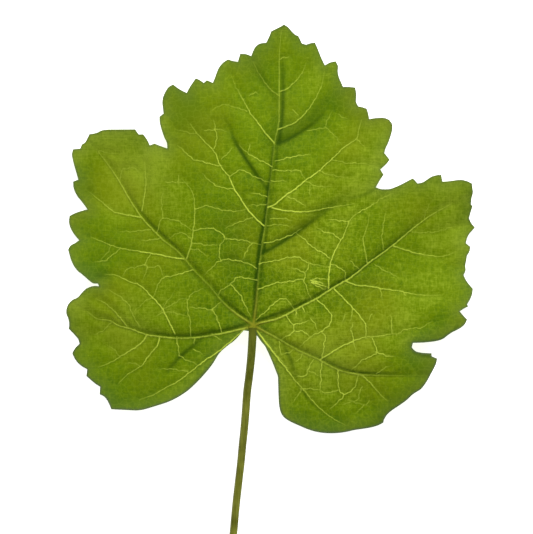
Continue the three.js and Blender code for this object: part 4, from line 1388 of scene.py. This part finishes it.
    def walls(self, lift: int) -> np.ndarray:
        """Closes the two faces round the rim.

        Args:
            lift: How many vertices come before the lower face's.

        Returns:
            Two triangles for each side of the rim.
        """
        start = np.arange(len(self.rim))
        end = np.roll(start, -1)
        return np.vstack(
            [
                np.column_stack([start + lift, end + lift, end]),
                np.column_stack([start + lift, end, start]),
            ]
        )

    def build(self) -> None:
        """Makes the mesh of both faces and the walls between them, with its attributes."""
        (above, top), (below, bottom) = self.plan(self.upper), self.plan(self.lower)
        low, high = (np.array(corner) / METRES_PER_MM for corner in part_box("leaf_blade"))
        heights = self.form.height(above, Face.UPPER), self.form.height(below, Face.LOWER)
        corners = np.column_stack([np.vstack([above, below]) + self.hub, np.concatenate(heights)])
        corners = np.clip(corners, low, high) * METRES_PER_MM
        faces = np.vstack([top, bottom[:, ::-1] + len(above), self.walls(len(above))])
        mesh = bpy.data.meshes.new("netted_blade")
        mesh.from_pydata(corners.tolist(), [], faces.tolist())
        marks_below = self.marks(below, Face.LOWER)
        for name, values in self.marks(above, Face.UPPER).items():
            both = np.concatenate([values, marks_below[name]])
            mesh.attributes.new(name, "FLOAT", "POINT").data.foreach_set("value", both)
        order = np.arange(len(faces))
        is_lower = (order >= len(top)) & (order < len(top) + len(bottom))
        mesh.polygons.foreach_set("material_index", is_lower.astype(np.int32))
        self.piece = bpy.data.objects.new("netted_blade", mesh)
        bpy.context.collection.objects.link(self.piece)
        select_only(self.piece)
        bpy.ops.object.shade_smooth_by_angle(angle=self.smooth_angle)

    def dress(self) -> None:
        """Gives the upper face and the rim the first finish and the lower face the second."""
        for finish in (UPPER_FINISH, LOWER_FINISH):
            self.piece.data.materials.append(finish.material())


@dataclass
class Petiole:
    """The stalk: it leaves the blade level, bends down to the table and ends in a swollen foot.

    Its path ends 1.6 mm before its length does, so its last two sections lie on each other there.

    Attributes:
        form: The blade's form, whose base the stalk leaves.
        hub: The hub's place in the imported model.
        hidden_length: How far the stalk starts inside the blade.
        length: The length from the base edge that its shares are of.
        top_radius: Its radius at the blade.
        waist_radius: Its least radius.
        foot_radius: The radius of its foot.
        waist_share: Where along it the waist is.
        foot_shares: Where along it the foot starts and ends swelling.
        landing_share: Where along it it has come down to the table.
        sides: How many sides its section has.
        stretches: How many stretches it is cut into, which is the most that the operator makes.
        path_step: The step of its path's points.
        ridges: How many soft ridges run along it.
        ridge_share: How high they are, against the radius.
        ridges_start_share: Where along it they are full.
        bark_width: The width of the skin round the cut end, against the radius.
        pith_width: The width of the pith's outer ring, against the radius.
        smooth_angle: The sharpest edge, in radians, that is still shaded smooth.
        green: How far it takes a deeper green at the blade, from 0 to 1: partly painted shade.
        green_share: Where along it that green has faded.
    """

    form: LeafForm
    hub: np.ndarray
    hidden_length: float = 1.2
    length: float = 95.0
    top_radius: float = 1.5
    waist_radius: float = 1.4
    foot_radius: float = 1.8
    waist_share: float = 0.55
    foot_shares: tuple[float, float] = (0.86, 0.97)
    landing_share: float = 0.3
    sides: int = 36
    stretches: int = 101
    path_step: float = 0.25
    ridges: int = 7
    ridge_share: float = 0.035
    ridges_start_share: float = 0.06
    bark_width: float = 0.22
    pith_width: float = 0.2
    smooth_angle: float = math.radians(50)
    green: float = 0.45
    green_share: float = 0.32
    piece: bpy.types.Object = field(init=False)

    def build(self) -> None:
        """Extrudes a disc into the stalk, rings its cut end and bends it to its path."""
        bpy.ops.object.select_all(action="DESELECT")
        bpy.ops.mesh.primitive_circle_add(vertices=self.sides, radius=1, fill_type="NGON")
        self.piece = bpy.context.object
        self.piece.name = self.piece.data.name = "stalk"
        mesh = self.piece.data
        bpy.ops.object.material_slot_add()
        bpy.ops.object.material_slot_add()
        self.piece.active_material_index = 0
        bpy.ops.object.mode_set(mode="EDIT")
        bpy.ops.mesh.select_all(action="SELECT")
        bpy.ops.mesh.extrude_region_move(TRANSFORM_OT_translate={"value": (0, 0, 1)})
        bpy.ops.object.mode_set(mode="OBJECT")
        bpy.context.tool_settings.mesh_select_mode = (False, True, False)
        self.select_where(mesh.edges, self.is_lengthwise)
        bpy.ops.object.mode_set(mode="EDIT")
        bpy.ops.mesh.subdivide(number_cuts=self.stretches - 1)
        bpy.ops.object.mode_set(mode="OBJECT")
        bpy.context.tool_settings.mesh_select_mode = (False, False, True)
        self.select_where(mesh.polygons, self.is_cut_end)
        bpy.ops.object.mode_set(mode="EDIT")
        bpy.ops.mesh.inset(thickness=self.bark_width)
        self.piece.active_material_index = 1
        bpy.ops.object.material_slot_assign()
        bpy.ops.mesh.inset(thickness=self.pith_width)
        bpy.ops.mesh.poke()
        bpy.ops.mesh.select_all(action="SELECT")
        bpy.ops.mesh.normals_make_consistent(inside=False)
        bpy.ops.object.mode_set(mode="OBJECT")
        self.shape()
        select_only(self.piece)
        bpy.ops.object.shade_smooth_by_angle(angle=self.smooth_angle)

    def select_where(self, elements: Iterable, is_wanted: Callable[..., bool]) -> None:
        """Selects the wanted ones of the mesh's edges or faces, and nothing else.

        Args:
            elements: The edges or the faces, in object mode.
            is_wanted: Takes one of them and says whether it is wanted.
        """
        mesh = self.piece.data
        for element in (*mesh.polygons, *mesh.edges, *mesh.vertices):
            element.select = False
        for element in elements:
            element.select = is_wanted(element)

    def is_lengthwise(self, edge: bpy.types.MeshEdge) -> bool:
        """Says whether one of the rod's edges runs along it."""
        start, end = (self.piece.data.vertices[index].co for index in edge.vertices)
        return abs(start.z - end.z) > 0.5

    def is_cut_end(self, face: bpy.types.MeshPolygon) -> bool:
        """Says whether a face is the disc at the rod's far end."""
        return len(face.vertices) > 4 and face.center.z > 0.5

    @staticmethod
    def eased(value: np.ndarray, start: float, end: float) -> np.ndarray:
        """Rises smoothly from 0 where the value is the start to 1 where it is the end."""
        share = np.clip((value - start) / (end - start), 0, 1)
        return share * share * (3 - 2 * share)

    def radius(self, share: np.ndarray) -> np.ndarray:
        """Finds the stalk's radius.

        Args:
            share: Shares of the stalk's length, from the blade.

        Returns:
            The radius at each of them.
        """
        waisted = np.minimum(1, share / self.waist_share)
        slim = self.top_radius + (self.waist_radius - self.top_radius) * waisted
        return slim + (self.foot_radius - slim) * self.eased(share, *self.foot_shares)

    def shape(self) -> None:
        """Moves the straight rod's vertices to the stalk's section and path and marks its green."""
        mesh = self.piece.data
        corners = np.array([vertex.co for vertex in mesh.vertices])
        line = Line(PETIOLE_PATH, self.path_step)
        length = np.r_[0, np.cumsum(np.linalg.norm(np.diff(line.points, axis=0), axis=1))]
        station = np.clip(corners[:, 2], 0, 1) * (self.hidden_length + self.length)
        share = np.clip((station - self.hidden_length) / self.length, 0, 1)
        centre = np.column_stack([np.interp(station, length, axis) for axis in line.points.T])
        aside = np.column_stack([np.interp(station, length, axis) for axis in line.sideways().T])
        radius = self.radius(share)
        grooved = self.eased(share, 0, self.ridges_start_share) * self.ridge_share
        landed = self.eased(share, 0, self.landing_share)
        base = self.form.base_height
        height = base + (radius * (1 + grooved) - base) * landed
        turn = np.arctan2(corners[:, 1], corners[:, 0])
        reach = radius * (1 - grooved * np.cos(self.ridges * turn))
        reach *= np.hypot(corners[:, 0], corners[:, 1])
        plan = centre + aside * (reach * np.cos(turn))[:, None] + self.hub
        rise = np.maximum(0, height + reach * np.sin(turn))
        shaped = np.clip(np.column_stack([plan, rise]) * METRES_PER_MM, *CAD_BOX)
        mesh.vertices.foreach_set("co", shaped.ravel())
        # Partly painted shade: how far the stalk turns a deeper green near the blade.
        green = mesh.attributes.new("green", "FLOAT", "POINT")
        green.data.foreach_set("value", self.green * (1 - self.eased(share, 0, self.green_share)))
        mesh.update()

    def dress(self) -> None:
        """Gives the skin and the pith at the cut end their finishes."""
        for slot, finish in zip(self.piece.material_slots, (STALK_FINISH, PITH_FINISH)):
            slot.material = finish.material()


def colour(code: str) -> tuple[float, float, float, float]:
    """Turns an sRGB code into the linear colour that the nodes work in.

    Args:
        code: The code, such as "#6f8f1b".

    Returns:
        Red, green, blue and an alpha of 1.
    """
    shares = [int(code[i : i + 2], 16) / 255 for i in (1, 3, 5)]
    red, green, blue = (s / 12.92 if s <= 0.04045 else ((s + 0.055) / 1.055) ** 2.4 for s in shares)
    return red, green, blue, 1.0


def per_metre(millimetres: float) -> float:
    """The pattern scale at which one repeat is that long."""
    return 1 / (millimetres * METRES_PER_MM)


def add_node(
    tree: bpy.types.NodeTree,
    kind: str,
    inputs: dict[int | str, object] | None = None,
    **settings: object,
) -> bpy.types.Node:
    """Adds a node with its settings and links.

    Args:
        tree: The node tree that it goes in.
        kind: Its type, without the "ShaderNode" that all of them start with.
        inputs: A value or another node's output for each of its sockets, by name or number.
        settings: Its own properties.

    Returns:
        The new node.
    """
    node = tree.nodes.new(f"ShaderNode{kind}")
    for name, value in settings.items():
        setattr(node, name, value)
    for key, value in (inputs or {}).items():
        if isinstance(value, bpy.types.NodeSocket):
            tree.links.new(value, node.inputs[key])
        else:
            node.inputs[key].default_value = value
    return node


def new_material(name: str) -> tuple[bpy.types.Material, bpy.types.NodeTree, bpy.types.Node]:
    """Starts a material.

    Args:
        name: Its name.

    Returns:
        The material, its node tree and its shader.
    """
    material = bpy.data.materials.new(name)
    material.use_nodes = True
    return material, material.node_tree, material.node_tree.nodes["Principled BSDF"]


class MixSocket(IntEnum):
    """The sockets of a Mix node that mixes colours, whose names it uses more than once."""

    FACTOR = 0
    UNDER = 6
    OVER = 7
    RESULT = 2


def mix(
    tree: bpy.types.NodeTree, share: bpy.types.NodeSocket, under: object, over: object
) -> bpy.types.NodeSocket:
    """Lays one colour over another, as far as the share says."""
    inputs = {MixSocket.FACTOR: share, MixSocket.UNDER: under, MixSocket.OVER: over}
    return add_node(tree, "Mix", inputs, data_type="RGBA").outputs[MixSocket.RESULT]


def read_mark(tree: bpy.types.NodeTree, name: str) -> bpy.types.NodeSocket:
    """Reads one of the attributes that a piece's mesh carries."""
    return add_node(tree, "Attribute", attribute_name=name).outputs["Fac"]


def noise(
    tree: bpy.types.NodeTree, place: bpy.types.NodeSocket, scale: float, **more: float
) -> bpy.types.NodeSocket:
    """Reads a noise texture at a place, its scale in drifts to a unit of length."""
    return add_node(tree, "TexNoise", {"Vector": place, "Scale": scale, **more}).outputs["Fac"]


@dataclass(frozen=True, kw_only=True)
class Skin:
    """A plant's thin waxy skin, or what shows where it is cut.

    Attributes:
        name: The material's name.
        roughness: How matt it is.
        relief: How strongly its fine relief stands out.
        relief_height: The height of that relief at full strength.
        ior: Its refractive index.
        specular: How much of the light it reflects.
        sheen: The tint of what it reflects.
    """

    name: str
    roughness: float
    relief: float
    relief_height: float = 0.2
    ior: float = 1.42
    specular: float = 0.25
    sheen: str = "#b4be64"

    def coat(
        self,
        tree: bpy.types.NodeTree,
        shader: bpy.types.Node,
        shade: bpy.types.NodeSocket,
        height: bpy.types.NodeSocket,
    ) -> None:
        """Gives a shader its colour and this skin's relief and gloss.

        Args:
            tree: The material's node tree.
            shader: Its shader.
            shade: The colour.
            height: The fine relief, in shares of its full height.
        """
        tree.links.new(shade, shader.inputs["Base Color"])
        distance = self.relief_height * METRES_PER_MM
        raised = {"Height": height, "Strength": self.relief, "Distance": distance}
        tree.links.new(add_node(tree, "Bump", raised).outputs[0], shader.inputs["Normal"])
        shader.inputs["Roughness"].default_value = self.roughness
        shader.inputs["IOR"].default_value = self.ior
        shader.inputs["Specular IOR Level"].default_value = self.specular
        shader.inputs["Specular Tint"].default_value = colour(self.sheen)


@dataclass(frozen=True, kw_only=True)
class LeafFinish(Skin):
    """The skin of one face of the blade, over its green flesh and its veins.

    Attributes:
        green: The middle green.
        pale: The green of its paler cells.
        deep: The green of its darker cells.
        olive: What its older parts drift towards.
        vein: The lines of the net.
        hub: The veins where they meet.
        valley: The painted shade's green in creases, shadow strips and beside veins.
        rim: The thin dark line round the margin, a painted shade.
        painted_sheen: The greyer green of the painted sheen near the margin.
        drift: The size of its broad drifts of tone.
        drift_weight: How much they lighten the green.
        age: The size of its olive drifts.
        age_span: Where the noise that they are made of starts and ends turning olive.
        age_share: How olive they are at the most.
        blotch: The size of its soft blotches, about a cell of the net.
        blotch_weight: How much they lighten the green.
        thread: The length and the width of the streaks that the finest veins make.
        thread_weight: How much they lighten the green.
        thread_span: Where the two noises of the streaks, added up, start and end beading a vein.
        beads: A vein's strength in the dark and in the pale streaks.
        tone_weight: How much a patch of tone 1 lightens the green.
        contrast: How far from the middle green the palest and the deepest are, in those weights.
        cell: The size of the cells of the finest net.
        cell_line: The width of its lines, against a cell.
        cell_share: How strongly its lines show.
        bend: How far the finest net's lines stray.
        bend_size: The length of the waves that they stray in.
    """

    green: str
    pale: str
    deep: str
    olive: str
    vein: str
    hub: str
    valley: str
    rim: str
    painted_sheen: str
    drift: float = 14.0
    drift_weight: float = 0.5
    age: float = 24.0
    age_span: tuple[float, float] = (0.48, 0.72)
    age_share: float = 0.4
    blotch: float = 1.7
    blotch_weight: float = 1.5
    thread: tuple[float, float] = (3.2, 0.5)
    thread_weight: float = 0.7
    thread_span: tuple[float, float] = (0.8, 1.2)
    beads: tuple[float, float] = (0.7, 1.15)
    tone_weight: float = 0.7
    contrast: float = 0.65
    cell: float = 2.1
    cell_line: float = 0.09
    cell_share: float = 0.09
    bend: float = 1.1
    bend_size: float = 2.0

    def tones(
        self,
        tree: bpy.types.NodeTree,
        place: bpy.types.NodeSocket,
        tone: bpy.types.NodeSocket,
        fine: bpy.types.NodeSocket,
    ) -> tuple[bpy.types.NodeSocket, bpy.types.NodeSocket]:
        """Mottles the flesh: broad drifts, blotches and the finest veins' crossing streaks.

        Args:
            tree: The material's node tree.
            place: The place on the leaf.
            tone: How much paler that part of the leaf is.
            fine: How strongly blotches and streaks show there.

        Returns:
            How pale the flesh is, from 0 to 1, and the height of the streaks.
        """
        drift = noise(tree, place, per_metre(self.drift), Detail=2.0)
        blotch = noise(tree, place, per_metre(self.blotch), Detail=4.0, Roughness=0.7)
        length, width = map(per_metre, self.thread)
        streaks = []
        for scale in ((length, width, length), (width, length, length)):
            stretched = add_node(tree, "Mapping", {"Vector": place, "Scale": scale}).outputs[0]
            streaks.append(noise(tree, stretched, 1.0, Detail=1.0))
        crossed = add_node(tree, "Math", dict(enumerate(streaks)), operation="ADD").outputs[0]
        # Both sums start so that the middle green is where every texture is at its middle.
        grain = -(self.blotch_weight / 2 + self.thread_weight)
        total = -self.drift_weight / 2
        grain = self.add_up(tree, grain, blotch, self.blotch_weight)
        grain = self.add_up(tree, grain, crossed, self.thread_weight)
        total = self.add_up(tree, total, grain, fine)
        total = self.add_up(tree, total, drift, self.drift_weight)
        total = self.add_up(tree, total, tone, self.tone_weight)
        span = {"Value": total, "From Min": -self.contrast, "From Max": self.contrast}
        return add_node(tree, "MapRange", span).outputs[0], crossed

    @staticmethod
    def add_up(
        tree: bpy.types.NodeTree, total: object, value: bpy.types.NodeSocket, weight: object
    ) -> bpy.types.NodeSocket:
        """Adds a value to a sum, times its weight."""
        inputs = {0: value, 1: weight, 2: total}
        return add_node(tree, "Math", inputs, operation="MULTIPLY_ADD").outputs[0]

    def finest_net(
        self, tree: bpy.types.NodeTree, place: bpy.types.NodeSocket
    ) -> bpy.types.NodeSocket:
        """Draws the finest net, as coarse as it needs to show.

        Args:
            tree: The material's node tree.
            place: The place on the leaf.

        Returns:
            The distance from the lines of the net, in cells.
        """
        waves = {"Vector": place, "Scale": per_metre(self.bend_size), "Detail": 1.0}
        aside = add_node(tree, "TexNoise", waves)
        far = add_node(
            tree,
            "VectorMath",
            {0: aside.outputs["Color"], 1: (self.bend * METRES_PER_MM,) * 3},
            operation="MULTIPLY",
        )
        strayed = add_node(tree, "VectorMath", {0: place, 1: far.outputs[0]}, operation="ADD")
        cells = add_node(
            tree,
            "TexVoronoi",
            {"Vector": strayed.outputs[0], "Scale": per_metre(self.cell)},
            feature="DISTANCE_TO_EDGE",
        )
        return cells.outputs["Distance"]

    def material(self) -> bpy.types.Material:
        """Makes the material, from the mottled flesh up to the veins and the margin's line.

        Returns:
            The material, which reads the attributes of the blade's mesh.
        """
        material, tree, shader = new_material(self.name)
        place = add_node(tree, "TexCoord").outputs["Object"]
        known = {
            name: read_mark(tree, name)
            for name in ("vein", "band", "hub", "valley", "rim", "painted_sheen", "tone", "fine")
        }
        light, streaks = self.tones(tree, place, known["tone"], known["fine"])
        cells = self.finest_net(tree, place)
        product = {0: known["fine"], 1: self.cell_share}
        faint = add_node(tree, "Math", product, operation="MULTIPLY").outputs[0]
        age = noise(tree, place, per_metre(self.age), Detail=1.0)
        ranges = (
            (light, (0.0, 0.5), (0.0, 1.0)),
            (light, (0.5, 1.0), (0.0, 1.0)),
            (age, self.age_span, (0.0, self.age_share)),
            (cells, (0.0, self.cell_line), (faint, 0.0)),
            (streaks, self.thread_span, self.beads),
        )
        names = ("Value", "From Min", "From Max", "To Min", "To Max")
        middle, high, old, lined, beaded = (
            add_node(tree, "MapRange", dict(zip(names, (value, *read, *given)))).outputs[0]
            for value, read, given in ranges
        )
        veined = add_node(tree, "Math", {0: known["vein"], 1: beaded}, operation="MULTIPLY")
        line = mix(tree, known["hub"], colour(self.vein), colour(self.hub))
        shade = colour(self.deep)
        layers = (
            (middle, colour(self.green)),
            (high, colour(self.pale)),
            (old, colour(self.olive)),
            # Painted sheen: greyer near the margin.
            (known["painted_sheen"], colour(self.painted_sheen)),
            (lined, colour(self.vein)),
            # Painted shade: the creases, the shadow strips and beside the veins.
            (known["valley"], colour(self.valley)),
            (known["band"], colour(self.hub)),
            # Painted shade: the dark line along the margin.
            (known["rim"], colour(self.rim)),
            (veined.outputs[0], line),
        )
        for share, over in layers:
            shade = mix(tree, share, shade, over)
        swelling = add_node(tree, "Math", {0: cells, 1: streaks}, operation="ADD")
        self.coat(tree, shader, shade, swelling.outputs[0])
        return material


# Living leaf, grown with a thin waxy skin: satin, mottled in cells, with a net that is finer than
# the modelled veins. The real net has cells of about 0.5 mm, which would not show, so it is drawn
# about four times as coarse.
UPPER_FINISH = LeafFinish(
    name="grown_leaf_satin_skin",
    green="#647d02",
    pale="#849a20",
    deep="#4b6904",
    olive="#79820c",
    vein="#b9cc46",
    hub="#787a18",
    valley="#2a4602",
    rim="#4c5a3a",
    painted_sheen="#687a48",
    roughness=0.55,
    relief=0.3,
)
# The same leaf's underside, grown with fine down: paler, duller and more even.
LOWER_FINISH = LeafFinish(
    name="grown_leaf_matt_underside",
    green="#8a9c52",
    pale="#98a963",
    deep="#7b8f45",
    olive="#949c58",
    vein="#b3bd7d",
    hub="#a9a868",
    valley="#7f924a",
    rim="#6f8140",
    painted_sheen="#8a9a60",
    roughness=0.72,
    relief=0.5,
)


@dataclass(frozen=True, kw_only=True)
class StalkFinish(Skin):
    """The skin of the stalk, or the pith at its cut end.

    Attributes:
        dark: The colour of its darker streaks.
        pale: The colour of its paler streaks.
        green: The deeper green that it takes at the blade, partly painted shade.
        streak: The width and the length of a streak.
        drift: The size of the drifts of tone.
        span: Where streaks and drifts, added up, are the dark colour and where the pale one.
    """

    dark: str
    pale: str
    green: str = "#445404"
    streak: tuple[float, float] = (0.5, 9.0)
    drift: float = 7.0
    span: tuple[float, float] = (0.7, 1.3)

    def material(self) -> bpy.types.Material:
        """Makes the material, finely streaked along the stalk's length.

        Returns:
            The material.
        """
        material, tree, shader = new_material(self.name)
        place = add_node(tree, "TexCoord").outputs["Object"]
        width, length = map(per_metre, self.streak)
        scale = (width, length, width)
        stretched = add_node(tree, "Mapping", {"Vector": place, "Scale": scale}).outputs[0]
        streaks = noise(tree, stretched, 1.0, Detail=3.0, Roughness=0.6)
        drift = noise(tree, place, per_metre(self.drift), Detail=2.0)
        both = add_node(tree, "Math", {0: streaks, 1: drift}, operation="ADD").outputs[0]
        low, high = self.span
        share = add_node(tree, "MapRange", {"Value": both, "From Min": low, "From Max": high})
        shade = mix(tree, share.outputs[0], colour(self.dark), colour(self.pale))
        # Partly painted shade: a deeper green where the stalk leaves the blade.
        shade = mix(tree, read_mark(tree, "green"), shade, colour(self.green))
        self.coat(tree, shader, shade, streaks)
        return material


# Green stalk, grown in long fibres under a thin skin: olive, finely streaked, with a low sheen.
STALK_FINISH = StalkFinish(
    name="grown_stalk_streaked",
    dark="#4d5012",
    pale="#7c8030",
    roughness=0.55,
    relief=0.4,
    specular=0.2,
    sheen="#b4aa5c",
)
# The stalk's pith where a blade cut it, a little dried: pale, matt and finely spongy.
PITH_FINISH = StalkFinish(
    name="cut_pith_dried",
    dark="#7f8548",
    pale="#b3b67c",
    roughness=0.8,
    relief=0.6,
    specular=0.2,
    sheen="#b4aa5c",
    streak=(0.35, 0.35),
)


@dataclass(frozen=True)
class TableFinish:
    """The plain table top, which isn't part of the leaf.

    Attributes:
        name: The material's name.
        white: Its colour.
        roughness: How matt it is.
        glow: How far it is lit from behind, which keeps the leaf's shadow faint.
    """

    name: str
    white: str
    roughness: float
    glow: float

    def material(self) -> bpy.types.Material:
        """Makes the material.

        Returns:
            The material.
        """
        material, _, shader = new_material(self.name)
        shader.inputs["Base Color"].default_value = colour(self.white)
        shader.inputs["Roughness"].default_value = self.roughness
        shader.inputs["Emission Color"].default_value = colour("#ffffff")
        shader.inputs["Emission Strength"].default_value = self.glow
        return material


# Opal acrylic, cast and sanded matt: an even white with no reflection.
TABLE_FINISH = TableFinish("cast_acrylic_matt_white", "#fbfbfb", roughness=0.9, glow=0.7)


@dataclass
class Studio:
    """The white table, the soft light and the camera straight above. Its sizes are in metres.

    Attributes:
        hub: The hub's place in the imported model, in millimetres.
        table: The side of the table top.
        surroundings: The strength of the even light from all round.
        lamp_place: Where the soft lamp hangs, beyond the leaf's tip.
        lamp_size: Its side.
        lamp_energy: Its power, in watts.
        lens: The camera's focal length, in millimetres.
        sensor: The width of its sensor, in millimetres.
        sharpest: The height over the table, in millimetres, that is at the photograph's scale.
        shift: How far the picture's middle is from the photograph's, in its pixels.
        reach: How far the camera sees.
    """

    hub: np.ndarray
    table: float = 6.0
    surroundings: float = 0.55
    lamp_place: tuple[float, float, float] = (0.15, 0.9, 0.75)
    lamp_size: float = 0.7
    lamp_energy: float = 14.0
    lens: float = 300.0
    sensor: float = 36.0
    sharpest: float = 1.0
    shift: tuple[float, float] = (0.05, 0.0)
    reach: float = 20.0

    def build(self) -> None:
        """Lays the table top at height 0, lights it and hangs the camera."""
        bpy.ops.object.select_all(action="DESELECT")
        bpy.ops.mesh.primitive_plane_add(size=self.table)
        table = bpy.context.object
        table.name = table.data.name = "table_top"
        table.data.materials.append(TABLE_FINISH.material())
        self.light()
        self.look_down()

    def light(self) -> None:
        """Lights the leaf from beyond its tip, with an even light from all round."""
        world = bpy.data.worlds.new("soft_surroundings")
        bpy.context.scene.world = world
        world.use_nodes = True
        background = world.node_tree.nodes["Background"]
        background.inputs["Color"].default_value = colour("#ffffff")
        background.inputs["Strength"].default_value = self.surroundings
        bpy.ops.object.light_add(type="AREA", location=self.lamp_place)
        lamp = bpy.context.object
        lamp.name = "softbox"
        lamp.data.size = self.lamp_size
        lamp.data.energy = self.lamp_energy
        lamp.rotation_euler = (-lamp.location).to_track_quat("-Z", "Y").to_euler()

    def look_down(self) -> None:
        """Hangs the camera straight above, its frame the photograph's."""
        width, height = PHOTO_SIZE
        middle = places([(width / 2 + self.shift[0], height / 2 + self.shift[1])])[0]
        seen = max(PHOTO_SIZE) * MM_PER_PIXEL * METRES_PER_MM
        rise = seen * self.lens / self.sensor + self.sharpest * METRES_PER_MM
        x, y = (middle + self.hub) * METRES_PER_MM
        bpy.ops.object.camera_add(location=(x, y, rise), rotation=(0, 0, 0))
        camera = bpy.context.object
        camera.data.lens = self.lens
        camera.data.sensor_width = self.sensor
        camera.data.clip_end = self.reach
        bpy.context.scene.camera = camera


def main() -> None:
    """Builds the leaf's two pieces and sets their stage."""
    bpy.context.scene.view_settings.view_transform = "Standard"
    form = LeafForm()
    blade = Blade(form)
    petiole = Petiole(form, blade.hub)
    for part, node in ((blade, "leaf_blade"), (petiole, "petiole")):
        part.build()
        part.dress()
        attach(part.piece, "root")
        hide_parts(node)
        log.info("%s, for %s: %d faces", part.piece.name, node, len(part.piece.data.polygons))
    Studio(blade.hub).build()


if __name__ == "__main__":
    main()
